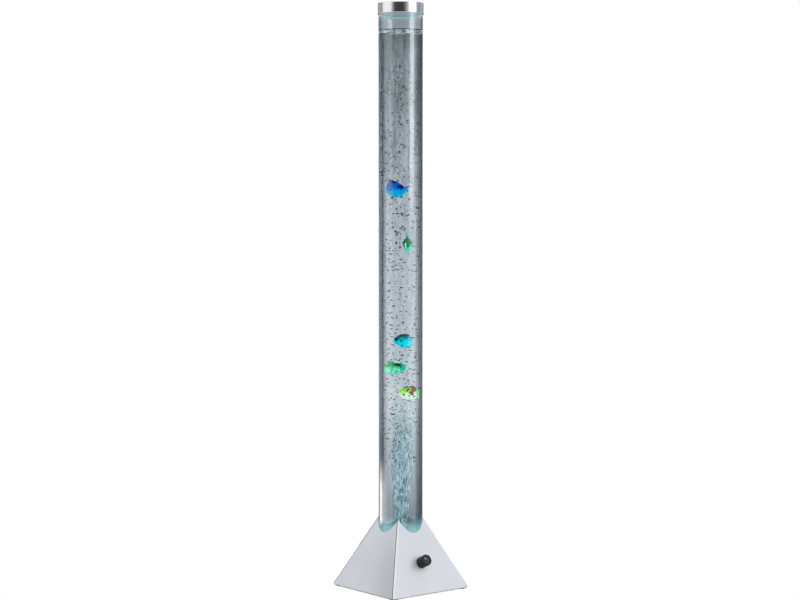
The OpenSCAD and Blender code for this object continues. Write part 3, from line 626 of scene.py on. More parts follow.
def silver_lacquer():
    material, web = fresh("silver_lacquer")
    place = web.add("ShaderNodeTexCoord", out="Object")
    x, y, z = (place.part(axis) for axis in "XYZ")
    from_fold = x.absolute() - y.absolute()
    seam = (from_fold > seam_from) * (from_fold < seam_to)
    # Painted highlight: the fold's crest is painted paler.
    crest_highlight = (from_fold > crest_highlight_from) * (from_fold < seam_from)
    # Painted shade: the lacquer is painted darker low down beside the front fold.
    beside = (1 - from_fold.step(*painted_shade_beside)) * (1 - y.step(*painted_shade_in_front))
    painted_shade = (from_fold > 0) * beside * (1 - z.step(*painted_shade_low))
    fleck = noise(web, place_on(web), 2600, detail=2.0)
    slow = noise(web, place_on(web), 9.0, detail=3.0)
    brushed = noise(web, place_on(web, (0.5, 0.5, 14)), 60.0, detail=3.0)
    tone = (slow * 0.5 + brushed * 0.3 + fleck * 0.2).step(0.3, 0.7)
    silver = tone.blend((0.585, 0.61, 0.655), (0.64, 0.665, 0.71)).scaled(1 - painted_shade * 0.24)
    silver = crest_highlight.blend(silver, (0.74, 0.75, 0.77))
    return surfaced(material, web, {
        "Base Color": seam.blend(silver, (0.1, 0.1, 0.14)),
        "Metallic": 0.5,
        "Roughness": 0.44 + (slow - 0.5) * 0.08,
        "Coat Weight": 0.25 - seam * 0.25,
        "Coat Roughness": 0.18,
        "Normal": relief(web, fleck * 0.02 - seam, 0.2 * MM),
    })


def merged_copy(node, name):
    """A copy of a working solid's mesh with its loose triangles joined."""
    bm = bmesh.new()
    bm.from_mesh(frame["nodes"][node].data)
    bmesh.ops.remove_doubles(bm, verts=bm.verts, dist=weld)
    bmesh.ops.dissolve_limit(
        bm, angle_limit=flat_within, verts=bm.verts, edges=bm.edges, use_dissolve_boundaries=False)
    mesh = bpy.data.meshes.new(name)
    bm.to_mesh(mesh)
    bm.free()
    return mesh


def apply_modifiers(thing):
    """The object's mesh with its modifiers applied, as a plain mesh."""
    ready = thing.evaluated_get(bpy.context.evaluated_depsgraph_get())
    mesh = bpy.data.meshes.new_from_object(ready)
    thing.modifiers.clear()
    thing.data = mesh
    return mesh


panel_area = 30 * MM * MM
flat_within = math.radians(0.5)
cover = bpy.data.objects.new("folded_cover", merged_copy("pyramid_shell", "folded_cover"))
bpy.context.scene.collection.objects.link(cover)
edge = cover.modifiers.new("edge", "BEVEL")
edge.width = 0.35 * MM
edge.segments = 2
edge.limit_method = "ANGLE"
edge.angle_limit = math.radians(30)
smooth(apply_modifiers(cover), 30)
for face in cover.data.polygons:
    face.use_smooth = face.area < panel_area
cover.data.materials.clear()
cover.data.materials.append(silver_lacquer())
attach(cover, "base")
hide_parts("pyramid_shell")
print("folded cover:", len(cover.data.polygons), "faces")

# %% [markdown]
# ## The cap
# The cap is a turned and chromed can with a flared lower lip and a small breather hole in the middle of
# its top. Its wall is brushed round and round before plating, so its highlights break into fine level
# lines. The lip is painted darker, as painted shade. A profile with rounded corners, spun in 256
# steps, gives the soft top edge and the folded lip.

# %% Cap
cap_low, cap_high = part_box("top_cap")


def brushed_chrome():
    material, web = fresh("brushed_chrome")
    lines = noise(web, place_on(web, (6, 6, 1400)), 1.0, detail=4.0)
    broad = noise(web, place_on(web, (3, 3, 260)), 1.0, detail=2.0)
    flat_place = place_on(web, (1, 1, 0))
    radius = web.add("ShaderNodeVectorMath", {"operation": "LENGTH"}, {0: flat_place}, out="Value")
    values = {"W": radius, "Scale": 1800.0, "Detail": 3.0}
    rings = web.add("ShaderNodeTexNoise", {"noise_dimensions": "1D"}, values)
    streak = lines * 0.5 + broad * 0.25 + rings * 0.25
    height = web.add("ShaderNodeTexCoord", out="Object").part("Z")
    # Painted shade: the lip's colour is darkened.
    lip = 1 - height.step(cap_low.z + 2.0 * MM, cap_low.z + 2.6 * MM)
    plated = streak.step(0.3, 0.7).blend((0.64, 0.65, 0.69), (0.86, 0.87, 0.9))
    return surfaced(material, web, {
        "Base Color": plated.scaled(1 - lip * 0.55),
        "Metallic": 1.0,
        "Roughness": 0.14 + streak * 0.14,
        "Normal": relief(web, streak, 0.012 * MM),
    })


lip_r = (cap_high.x - cap_low.x) / 2
cap_r = lip_r - 0.8 * MM
cap_wall = 0.8 * MM
cap_top_t = 1.2 * MM
breather_r = 2 * MM
cap_inner_r = cap_r - cap_wall
cap_profile = [
    (cap_inner_r, cap_low.z), (lip_r - 0.1 * MM, cap_low.z), (lip_r, cap_low.z + 0.9 * MM),
    (cap_r, cap_low.z + 2.4 * MM), (cap_r, cap_high.z), (breather_r, cap_high.z),
    (breather_r, cap_high.z - cap_top_t), (cap_inner_r, cap_high.z - cap_top_t),
]
cap_corners = {1: 0.3 * MM, 2: 0.4 * MM, 3: 0.8 * MM, 4: 1.4 * MM, 5: 0.3 * MM}
cap_mesh = turned("chrome_cap", soften(cap_profile, cap_corners), steps=256)
finishes["cap_chrome"] = brushed_chrome()
piece("chrome_cap", cap_mesh, finishes["cap_chrome"], "cap", "cap_chrome", "top_cap")
print("cap:", round(2 * lip_r / MM, 1), "mm across its lip")

# %% [markdown]
# ## The tube and the water
# Acrylic and water bend light together: the full tube acts as one thick lens, which is why the fish look
# wide and the edges go dark. Both pieces refract for real. The water's wall sits a hair outside the
# tube's bore, because then a ray crosses the two surfaces in a thin parallel layer and leaves them bent
# exactly as if the water touched the plastic. For the light that falls on the fish, both let shadow rays
# straight through. The tube's wall has a painted glow near its upper end, brightest just under the cap's
# lip. The water is tinted, and its colour also carries painted shade: darker towards the top and near the
# foot, brightest about a third of the way up. Long faint lighter streaks run through it, and the painted
# shade between them deepens towards the top. Near the foot the water has a painted blue-green glow.

# %% Clear tube
tube_low, tube_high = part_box("water_tube")


def lets_light_in(web, shader, tint):
    """The shader for every ray but a shadow ray, which passes straight through with a tint."""
    shadow = web.add("ShaderNodeLightPath", out="Is Shadow Ray")
    open_air = web.add("ShaderNodeBsdfTransparent", values={"Color": rgba(tint)})
    return web.add("ShaderNodeMixShader", values={0: shadow, 1: shader, 2: open_air})


def clear_acrylic():
    material, web = fresh("clear_acrylic")
    fine = noise(web, place_on(web, (1, 1, 0.06)), 70)
    height = web.add("ShaderNodeTexCoord", out="Object").part("Z")
    # Painted glow: an emission near the top of the wall, brightest just under the cap's lip.
    near_top = height.step(tube_high.z - 40 * MM, tube_high.z - 20 * MM)
    painted_top_glow = near_top.blend(0.0, (0.1, 0.2, 0.22))
    under_lip = height.step(cap_low.z - 7 * MM, cap_low.z - 2 * MM)
    values = {
        "Base Color": fine.blend((0.82, 0.885, 0.915), (0.86, 0.915, 0.94)),
        "Roughness": 0.0,
        "IOR": 1.49,
        "Transmission Weight": 1.0,
        "Emission Color": under_lip.blend(painted_top_glow, (0.2, 0.32, 0.35)),
        "Emission Strength": 0.2,
    }
    shader = web.add("ShaderNodeBsdfPrincipled", values=values)
    close(web, lets_light_in(web, shader, 0.96))
    return material


disc_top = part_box("tube_bottom")[1].z
tube_r = (tube_high.x - tube_low.x) / 2
tube_wall, tube_edge = 3 * MM, 0.4 * MM
bore_r = tube_r - tube_wall
tube_profile = [
    (bore_r, tube_low.z), (tube_r, tube_low.z), (tube_r, tube_high.z), (bore_r, tube_high.z),
]
tube_corners = {k: tube_edge for k in range(len(tube_profile))}
tube_mesh = turned("clear_tube", soften(tube_profile, tube_corners), steps=256)
finishes["clear_acrylic"] = clear_acrylic()
piece("clear_tube", tube_mesh, finishes["clear_acrylic"], "base", "clear_acrylic", "water_tube")
print("tube:", round(2 * tube_r / MM), "mm across, bore", round(2 * bore_r / MM), "mm")

# %% [markdown]
# The water's surface is never flat while the pump runs. Its top is a disc of rings whose height is a
# few crossed waves, dying away into a small meniscus that climbs the wall.

# %% Water
water_level = 1.1345
water_overlap = 0.05 * MM
wave_height, meniscus_height = 1.1 * MM, 1.6 * MM
meniscus_from, meniscus_width = 0.9, 0.1
# The height ramp carries painted shade, and the glow near the foot is a painted glow.
tint_and_shade_height = 1.2
painted_shade_deepens = (0.55, 1.0)
painted_foot_glow_fade = (0.118, 0.146)


def ripple(x, y):
    """Height of the water's surface above its level."""
    radius = math.hypot(x, y) / bore_r
    waves = math.sin(210 * x + 1.3) * math.cos(180 * y) + 0.7 * math.sin(330 * y - 120 * x)
    climb = max(0.0, radius - meniscus_from) / meniscus_width
    return wave_height * waves * (1 - radius ** 6) + meniscus_height * climb * climb


def water_body(bm, steps=256, storeys=8, rings=26):
    low = disc_top + water_overlap
    radius = bore_r + water_overlap
    profile = [(0, low), (radius, low)]
    profile += [(radius, low + (water_level - low) * k / storeys) for k in range(1, storeys + 1)]
    profile += [(radius * (1 - k / rings), water_level) for k in range(1, rings + 1)]
    spin(bm, profile, steps, closed=False)
    for vert in bm.verts:
        if vert.co.z > water_level - weld:
            vert.co.z += ripple(vert.co.x, vert.co.y)


def tinted_water():
    material, web = fresh("tinted_water")
    height = web.add("ShaderNodeTexCoord", out="Object").part("Z")
    streaks = noise(web, place_on(web, (1, 1, 0.12)), 120, detail=4.0, distortion=0.8)
    wakes = noise(web, place_on(web, (1, 1, 0.35)), 330, detail=3.0, distortion=0.4)
    # The water's tint with painted shade: darker towards the top and near the foot, brightest about a third
    # of the way up.
    tint = (height / tint_and_shade_height).ramp(
        (0.095, (0.4, 0.56, 0.58)), (0.128, (0.36, 0.4, 0.43)), (0.155, (0.44, 0.48, 0.52)),
        (0.2, (0.59, 0.62, 0.66)), (0.25, (0.70, 0.72, 0.75)), (0.31, (0.96, 0.965, 0.98)),
        (0.5, (0.86, 0.87, 0.90)), (0.66, (0.82, 0.83, 0.86)), (0.74, (0.69, 0.71, 0.74)),
        (0.83, (0.54, 0.57, 0.6)), (1.0, (0.5, 0.54, 0.57)))
    light = (streaks * 0.65 + wakes * 0.35).step(0.36, 0.62)
    # Painted shade that deepens towards the top, lifted where the streaks are.
    deepest_painted_shade = height.step(*painted_shade_deepens).between(0.8, 0.5)
    # A painted blue-green glow near the foot.
    lines = noise(web, place_on(web, (1, 1, 12)), 45, detail=3.0).step(0.42, 0.58)
    glow = (1 - height.step(*painted_foot_glow_fade)) * lines.between(0.55, 1.05)
    values = {
        "Base Color": tint.scaled(deepest_painted_shade + light * (1 - deepest_painted_shade)),
        "Roughness": 0.0,
        "IOR": 1.33,
        "Transmission Weight": 1.0,
        "Normal": relief(web, streaks * 0.7 + wakes * 0.3, 0.4 * MM, 0.6),
        "Emission Color": glow.blend(0.0, (0.2, 0.37, 0.4)),
        "Emission Strength": 0.9,
    }
    shader = web.add("ShaderNodeBsdfPrincipled", values=values)
    close(web, lets_light_in(web, shader, (0.93, 0.97, 0.98)))
    return material


water_mesh = smooth(mesh_of("water", water_body), 50)
piece("water", water_mesh, tinted_water(), "base", "clear_acrylic")
print("water: level at", water_level, "m,", len(water_mesh.polygons), "faces")

# %% [markdown]
# ## Bubbles
# Hundreds of bubbles drift in the column, so Geometry Nodes scatter them. The tree places points at
# random in a column that widens upwards, drops those that lie in the space a fish drifts through, puts
# a small ball on each, a little flattened as rising bubbles are, and realises them into one mesh. Every
# random value has a fixed seed. A bubble in bright water looks like a dark bead with a glint. The beads
# here are opaque, and their dark satin skin is painted shade; a glossy coat over it gives the glint. This
# stays crisp when the picture is denoised, which a perfect mirror would not.

# %% Geometry Nodes helpers
KINDS = {"int": "NodeSocketInt", "float": "NodeSocketFloat", "material": "NodeSocketMaterial"}


def new_tree(name, inputs):
    """A geometry tree with named inputs, given as name: kind, and the signals of those inputs."""
    tree = bpy.data.node_groups.new(name, "GeometryNodeTree")
    for socket, kind in inputs.items():
        tree.interface.new_socket(socket, in_out="INPUT", socket_type=KINDS[kind])
    tree.interface.new_socket("Geometry", in_out="OUTPUT", socket_type="NodeSocketGeometry")
    web = Signal(tree)
    source = web.add("NodeGroupInput")
    return web, {socket: source.output(socket) for socket in inputs}


def end_tree(web, geometry, material):
    """Realises instances, shades them smooth, sets the material and closes the tree."""
    real = web.add("GeometryNodeRealizeInstances", values={"Geometry": geometry})
    shaded = web.add("GeometryNodeSetShadeSmooth", values={"Geometry": real})
    painted = web.add("GeometryNodeSetMaterial", values={"Geometry": shaded, "Material": material})
    web.add("NodeGroupOutput", values={"Geometry": painted})


def grown(name, tree, settings):
    """Runs a tree with these settings and returns its result as a plain mesh."""
    thing = bpy.data.objects.new(name, bpy.data.meshes.new(name))
    bpy.context.scene.collection.objects.link(thing)
    modifier = thing.modifiers.new(name, "NODES")
    modifier.node_group = tree
    for item in tree.interface.items_tree:
        if item.item_type == "SOCKET" and item.in_out == "INPUT":
            modifier[item.identifier] = settings[item.name]
    mesh = apply_modifiers(thing)
    mesh.name = name
    bpy.data.objects.remove(thing)
    return mesh


def random_number(web, low, high, seed):
    values = {2: low, 3: high, "Seed": seed}
    return web.add("FunctionNodeRandomValue", {"data_type": "FLOAT"}, values, out=1)


def points_at(web, count, angle, radius, height):
    """As many points as count says, at these angles and distances round the tube's axis."""
    spot = web.vector(radius * web.calc("COSINE", angle), radius * web.calc("SINE", angle), height)
    return web.add("GeometryNodePoints", values={"Count": count, "Position": spot})


def copies(web, instance, points, scale):
    values = {"Points": points, "Instance": instance, "Scale": scale}
    return web.add("GeometryNodeInstanceOnPoints", values=values)


print("geometry helpers ready")

# %% [markdown]
# The fish's places come from their boxes, their sizes are given, and the space that each can drift
# through comes from its joint. A fish lies along a heading, and is thin across it.

# %% Fish places
fish_heading = {"fish_1": 0, "fish_2": 80, "fish_3": 0, "fish_4": 180, "fish_5": 0}
fish_size = {
    "fish_1": Vector((37, 12, 41)) * MM,
    "fish_2": Vector((34, 13, 42)) * MM,
    "fish_3": Vector((30, 11, 29)) * MM,
    "fish_4": Vector((34, 11, 30)) * MM,
    "fish_5": Vector((37, 11, 29)) * MM,
}
fish_place = {}
fish_travel = {}


def fish_angle(fish):
    return look_azimuth + math.radians(fish_heading[fish])


def fish_turn(fish):
    """The cosine and sine of a fish's heading in the frame."""
    return math.cos(fish_angle(fish)), math.sin(fish_angle(fish))


for fish in fish_heading:
    low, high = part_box(fish)
    fish_place[fish] = (low + high) / 2
    reach = next(joint["range_m"] for joint in frame["joints"] if joint["child"] == fish)
    fish_travel[fish] = (low.z + reach[0], high.z + reach[1])
    drift = [round(z, 3) for z in fish_travel[fish]]
    print(fish, "at height", round(fish_place[fish].z, 3), "drifts from", drift[0], "to", drift[1])

# %% Bubbles
mostly_small = 2.2


# The bubble's dark skin is painted shade; the coat gives the glint.
def bubble_finish():
    material, web = fresh("bubble_skin")
    tone = noise(web, place_on(web), 300)
    return surfaced(material, web, {
        "Base Color": tone.step(0.4, 0.6).blend((0.01, 0.016, 0.022), (0.06, 0.08, 0.1)),
        "Metallic": 0.4,
        "Roughness": 0.32 + tone * 0.1,
        "Coat Weight": 0.7,
        "Coat Roughness": 0.06,
    })


def inside_a_fish(web, x, y, z):
    """1 where a point lies in the space that some fish takes up as it drifts."""
    margin = 1.5 * MM
    found = None
    for name, place in fish_place.items():
        cos, sin = fish_turn(name)
        along = (x - place.x) * cos + (y - place.y) * sin
        aside = (y - place.y) * cos - (x - place.x) * sin
        low, high = fish_travel[name]
        middle, half = (low + high) / 2, (high - low) / 2 + margin
        here = along.absolute() < fish_size[name].x / 2 + margin
        here = here * (aside.absolute() < fish_size[name].y / 2 + margin)
        here = here * ((z - middle).absolute() < half)
        found = here if found is None else found + here
    return found > 0.5


def bubble_tree():
    inputs = {
        "Count": "int", "Reach": "float", "Low": "float", "High": "float", "Neck": "float",
        "Smallest": "float", "Largest": "float", "Flatness": "float", "Seed": "int", "Finish": "material",
    }
    web, given = new_tree("scattered_bubbles", inputs)
    seed = given["Seed"]
    angle = random_number(web, 0.0, 2 * math.pi, seed)
    climb = random_number(web, 0.0, 1.0, seed + 2)
    height = given["Low"] + climb * (given["High"] - given["Low"])
    radius = random_number(web, 0.0, 1.0, seed + 1) ** 0.5 * climb.between(given["Neck"], given["Reach"])
    points = points_at(web, given["Count"], angle, radius, height)
    position = web.add("GeometryNodeInputPosition")
    taken = inside_a_fish(web, *(position.part(axis) for axis in "XYZ"))
    values = {"Geometry": points, "Selection": taken}
    free = web.add("GeometryNodeDeleteGeometry", {"domain": "POINT"}, values)
    share = random_number(web, 0.0, 1.0, seed + 3) ** mostly_small
    size = given["Smallest"] + share * (given["Largest"] - given["Smallest"])
    scale = web.vector(size, size, size * given["Flatness"])
    ball = web.add("GeometryNodeMeshUVSphere", values={"Segments": 8, "Rings": 5, "Radius": 1.0})
    end_tree(web, copies(web, ball, free, scale), given["Finish"])
    return web.tree


bubbles_from = bubble_tree()
bubble_skin = bubble_finish()
drifting = grown("drifting_bubbles", bubbles_from, {
    "Count": 1150, "Reach": bore_r - 3 * MM, "Low": 0.25, "High": 1.07, "Neck": bore_r - 12 * MM,
    "Smallest": 1.1 * MM, "Largest": 2.1 * MM, "Flatness": 0.66, "Seed": 11, "Finish": bubble_skin,
})
piece("drifting_bubbles", drifting, None, "base", "clear_acrylic")
print("drifting bubbles:", len(drifting.polygons), "faces")

# %% [markdown]
# ## The rising stream
# Above the diffuser the air leaves in strings that wander, split and spread as they climb. A string is a
# curve line: the tree puts many of them on random points of the diffuser's top, bends each with a noise
# that depends on where it started, lets them spread outwards, and sweeps a small circle along them whose
# radius swells and shrinks like a string of bubbles. The lowest fish sinks into the stream, so the strings
# part in front of and behind the slab that it drifts through. Seen from the camera that leaves no gap.

# %% Stream
latest_start = 0.45
wander_across, wander_up = 900.0, 17.0
parting_ahead, parting_below = (6 * MM, 2.5 * MM), (20 * MM, 3 * MM)
parting_gap, parting_squeeze = 2.2 * MM, 0.7


# The strings and their beads have a painted blue-green glow, fainter higher up.
def stream_finish():
    material, web = fresh("stream_glow")
    height = web.add("ShaderNodeTexCoord", out="Object").part("Z")
    tone = noise(web, place_on(web, (1, 1, 0.35)), 260, detail=3.0).step(0.36, 0.64)
    higher = height.step(0.12, 0.34)
    return surfaced(material, web, {
        "Base Color": tone.blend((0.2, 0.34, 0.38), (0.88, 0.95, 0.96)),
        "Roughness": 0.3 + tone * 0.15,
        "Emission Color": (tone * higher.between(1.0, 0.75)).blend((0.05, 0.1, 0.11), (0.5, 0.66, 0.68)),
        "Emission Strength": 0.8,
    })


def parted(web, fish, start, spot, z):
    """A string's point, moved out of the slab that a fish drifts through, to the side where it starts."""
    cos, sin = fish_turn(fish)
    place, size, low = fish_place[fish], fish_size[fish], fish_travel[fish][0]
    side = ((start[1] - place.y) * cos - (start[0] - place.x) * sin > 0) * 2.0 - 1.0
    along = (spot[0] - place.x) * cos + (spot[1] - place.y) * sin
    aside = ((spot[1] - place.y) * cos - (spot[0] - place.x) * sin) * side
    near = along.step(*(-size.x / 2 - gap for gap in parting_ahead))
    near = near * z.step(*(low - gap for gap in parting_below))
    wanted = size.y / 2 + parting_gap + web.calc("MAXIMUM", aside, 0.0) * parting_squeeze
    push = web.calc("MAXIMUM", wanted - aside, 0.0) * near * side
    return spot[0] - push * sin, spot[1] + push * cos


def stream_tree():
    inputs = {
        "Strings": "int", "Start": "float", "Low": "float", "High": "float", "Spread": "float",
        "Wander": "float", "Thickness": "float", "Seed": "int", "Finish": "material",
    }
    web, given = new_tree("rising_stream", inputs)
    seed = given["Seed"]
    angle = random_number(web, 0.0, 2 * math.pi, seed)
    radius = random_number(web, 0.0, 1.0, seed + 1) ** 0.5 * given["Start"]
    lift = random_number(web, 0.0, 1.0, seed + 2) ** 2
    begin = given["Low"] + lift * (given["High"] - given["Low"]) * latest_start
    points = points_at(web, given["Strings"], angle, radius, begin)
    top = web.vector(0.0, 0.0, given["High"] - given["Low"])
    line = web.add("GeometryNodeCurvePrimitiveLine", values={"End": top})
    line = web.add("GeometryNodeResampleCurve", values={"Curve": line, "Count": 70})
    share = random_number(web, 0.35, 1.0, seed + 3)
    scale = web.vector(1.0, 1.0, share * (1 - lift * latest_start))
    strings = copies(web, line, points, scale)
    strings = web.add("GeometryNodeRealizeInstances", values={"Geometry": strings})
    position = web.add("GeometryNodeInputPosition")
    x, y, z = (position.part(axis) for axis in "XYZ")
    climb = (z - given["Low"]) / (given["High"] - given["Low"])
    wave_place = web.vector(x * wander_across, y * wander_across, z * wander_up)
    wave = {"Vector": wave_place, "Scale": 1.0, "Detail": 3.0}
    sway = web.add("ShaderNodeTexNoise", values=wave, out="Color")
    amount = given["Wander"] * (0.25 + climb)
    grow = given["Spread"] * climb ** 0.7
    swayed = (
        x * (1.0 + grow) + (sway.part("X") - 0.5) * amount,
        y * (1.0 + grow) + (sway.part("Y") - 0.5) * amount,
    )
    bent = web.vector(*parted(web, "fish_5", (x, y), swayed, z), z)
    strings = web.add("GeometryNodeSetPosition", values={"Geometry": strings, "Position": bent})
    beads = web.add("ShaderNodeTexNoise", values={"Vector": wave_place, "Scale": 7.0, "Detail": 1.0})
    width = given["Thickness"] * (0.3 + beads.step(0.36, 0.68) * 0.9)
    strings = web.add("GeometryNodeSetCurveRadius", values={"Curve": strings, "Radius": width})
    ring = web.add("GeometryNodeCurvePrimitiveCircle", values={"Resolution": 6, "Radius": 1.0})
    radius_now = web.add("GeometryNodeInputNamedAttribute", {"data_type": "FLOAT"}, {"Name": "radius"})
    swept = {"Curve": strings, "Profile Curve": ring, "Scale": radius_now, "Fill Caps": True}
    end_tree(web, web.add("GeometryNodeCurveToMesh", values=swept), given["Finish"])
    return web.tree


stone_low, stone_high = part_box("air_stone")
stone_r = (stone_high.x - stone_low.x) / 2
stream_r = stone_r * 0.46
stream_top = 0.38
stream_skin = stream_finish()
strings = grown("rising_strings", stream_tree(), {
    "Strings": 88, "Start": stream_r, "Low": stone_high.z + 0.5 * MM, "High": stream_top, "Spread": 2.7,
    "Wander": 0.015, "Thickness": 0.52 * MM, "Seed": 5, "Finish": stream_skin,
})
piece("rising_strings", strings, None, "base", "clear_acrylic")
beads = grown("stream_bubbles", bubbles_from, {
    "Count": 460, "Reach": bore_r * 0.74, "Low": stone_high.z + 2 * MM, "High": stream_top, "Neck": stream_r,
    "Smallest": 0.4 * MM, "Largest": 1.0 * MM, "Flatness": 0.8, "Seed": 31, "Finish": stream_skin,
})
piece("stream_bubbles", beads, None, "base", "clear_acrylic")
print("stream:", len(strings.polygons) + len(beads.polygons), "faces")

# %% [markdown]
# Where the bubbles break there is a thin raft of foam under the surface, with brighter and darker patches,
# and the brighter patches have a painted glow.

# %% Foam
# The foam's brighter patches have a painted glow.
def foam_finish():
    material, web = fresh("foam")
    tone = noise(web, place_on(web, (1, 1, 3)), 60, detail=4.0).step(0.4, 0.56)
    return surfaced(material, web, {
        "Base Color": tone.blend((0.16, 0.24, 0.27), (0.95, 0.98, 0.98)),
        "Roughness": 0.3 + tone * 0.1,
        "Emission Color": tone.blend((0.02, 0.04, 0.05), (0.6, 0.7, 0.71)),
        "Emission Strength": 0.75,
    })


foam = grown("surface_foam", bubbles_from, {
    "Count": 900, "Reach": bore_r - 2 * MM, "Low": water_level - 5.5 * MM, "High": water_level - 0.4 * MM,
    "Neck": bore_r - 6 * MM, "Smallest": 0.6 * MM, "Largest": 2.0 * MM, "Flatness": 0.7, "Seed": 57,
    "Finish": foam_finish(),
})
piece("surface_foam", foam, None, "base", "clear_acrylic")
print("foam:", len(foam.polygons), "faces")

# %% [markdown]
# ## The knob
# The knob is a plain black moulding with a shallow recess in its front. A dark disc with a raised, pale
# pointer bar sits in the recess. Both are turned about the control's axis, which leans with the face.

# %% Knob
def black_knob():
    material, web = fresh("black_knob")
    grain = noise(web, place_on(web), 2400)
    return surfaced(material, web, {
        "Base Color": grain.blend((0.004, 0.005, 0.007), (0.014, 0.015, 0.019)),
        "Roughness": 0.42 + grain * 0.12,
        "Specular IOR Level": 0.3,
        "Normal": relief(web, grain, 0.02 * MM),
    })


def pointer_disc():
    material, web = fresh("pointer_disc")
    grain = noise(web, place_on(web), 1200)
    place = web.add("ShaderNodeTexCoord", out="Object")
    values = {0: place, 1: knob_axis}
    depth = web.add("ShaderNodeVectorMath", {"operation": "DOT_PRODUCT"}, values, out="Value")
    raised = depth > face_point.dot(knob_axis) + knob_to - recess_depth + pale_above
    dull = grain.blend((0.01, 0.011, 0.013), (0.03, 0.033, 0.038))
    return surfaced(material, web, {
        "Base Color": raised.blend(dull, (0.42, 0.43, 0.45)),
        "Metallic": 0.2,
        "Roughness": 0.34 + grain * 0.1,
        "Normal": relief(web, grain, 0.015 * MM),
    })


knob_joint = next(joint for joint in frame["joints"] if joint["name"] == "knob_turn")
knob_axis = Vector(knob_joint["axis"])
knob_up = (Vector((0, 0, 1)) - knob_axis * knob_axis.z).normalized()
knob_side = knob_up.cross(knob_axis)
pointer_turn = math.radians(40)
face_point = Vector(knob_joint["pos_m"])
set_on_face = Matrix.Translation(face_point) @ Matrix((
    (knob_side.x, knob_up.x, knob_axis.x, 0), (knob_side.y, knob_up.y, knob_axis.y, 0),
    (knob_side.z, knob_up.z, knob_axis.z, 0), (0, 0, 0, 1)))
corners = [vertex.co for vertex in frame["nodes"]["knob"].data.vertices]
knob_from = min((corner - face_point).dot(knob_axis) for corner in corners)
knob_to = max((corner - face_point).dot(knob_axis) for corner in corners)
knob_r = max(((corner - face_point).cross(knob_axis)).length for corner in corners)
recess_r, recess_depth = 8 * MM, 2 * MM
disc_rise, rim_rise, bar_foot, bar_rise = 1.0 * MM, 1.25 * MM, 0.9 * MM, 1.7 * MM
pale_above = 1.35 * MM
hollow_r, hollow_to = 8 * MM, 7 * MM
shaft_r, shaft_to = 3.02 * MM, 16.2 * MM
knob_profile = [
    (0, knob_to - recess_depth), (recess_r, knob_to - recess_depth), (recess_r, knob_to), (knob_r, knob_to),
    (knob_r, knob_from), (hollow_r, knob_from), (hollow_r, hollow_to), (shaft_r, hollow_to),
    (shaft_r, shaft_to), (0, shaft_to),
]
knob_corners = {2: 0.5 * MM, 3: 1.3 * MM, 4: 0.5 * MM, 5: 0.4 * MM}
knob_points = soften(knob_profile, knob_corners)
knob_mesh = turned("control_knob", knob_points, steps=128, matrix=set_on_face, closed=False)
piece("control_knob", knob_mesh, black_knob(), "knob", "black_plastic", "knob")
print("knob:", round(2 * knob_r / MM, 1), "mm across and", round((knob_to - knob_from) / MM, 1), "mm deep")

# %% [markdown]
# The disc has a fine rim, and the pointer bar has rounded ends. The bar is drawn as an outline with two
# half circles and lifted, which costs little and reads well at any size.

# %% Knob insert
def insert_shape(bm, half_round=16):
    rest = knob_to - recess_depth
    rim = 7.9 * MM
    profile = [
        (0, rest), (rim, rest), (rim, rest + rim_rise), (rim - 0.7 * MM, rest + rim_rise),
        (rim - 1.0 * MM, rest + disc_rise), (0, rest + disc_rise),
    ]
    spin(bm, profile, 96, closed=False)
    half, low, high = 0.7 * MM, 1.9 * MM, 6.2 * MM
    outline = []
    for start, centre in ((0, high), (math.pi, low)):
        for k in range(half_round + 1):
            angle = start + math.pi * k / half_round
            outline.append((half * math.cos(angle), centre + half * math.sin(angle)))
    turned_outline = []
    for x, y in outline:
        turned_outline.append((x * math.cos(pointer_turn) - y * math.sin(pointer_turn),
                               x * math.sin(pointer_turn) + y * math.cos(pointer_turn)))
    bottom = [bm.verts.new((x, y, rest + bar_foot)) for x, y in turned_outline]
    lid = [bm.verts.new((x, y, rest + bar_rise)) for x, y in turned_outline]
    bm.faces.new(bottom[::-1])
    bm.faces.new(lid)
    for k in range(len(bottom)):
        n = (k + 1) % len(bottom)
        bm.faces.new((bottom[k], bottom[n], lid[n], lid[k]))


insert_mesh = smooth(mesh_of("pointer_disc", insert_shape, set_on_face), 30)
piece("pointer_disc", insert_mesh, pointer_disc(), "knob", "insert_plastic", "knob_insert")
print("pointer disc:", len(insert_mesh.polygons), "faces")

# %% [markdown]
# ## The fish
# The fish are moulded in solid plastic and painted: a deep body that narrows to the tail, thin fins with
# moulded rays, a raised eye on each side. The body is a loft of flattened rings whose height and
# thickness follow two formulas of the distance from the nose, the same that the working solids use, in
# finer steps. A fin is a fan between a root line on the body and a tip line, thick along each ray and
# thin between the rays. A UV map that runs from nose to tail and from belly to back carries the paint.

# %% Fish body
body_share = 0.84
nose_from = 0.004
body_rings, body_sides = 30, 32


def body_half(s):
    """Half the body's height at share s of its length, as a share of the fish's height."""
    return 0.31 * (2.36 * math.sqrt(s) * (1 - s) ** 0.9 + 0.15 * s)


def body_thick(s):
    """Half the body's thickness there, as a share of the fish's thickness."""
    return 0.5 * (2.1 * math.sqrt(s) * (1 - s) ** 0.7 + 0.16 * s)


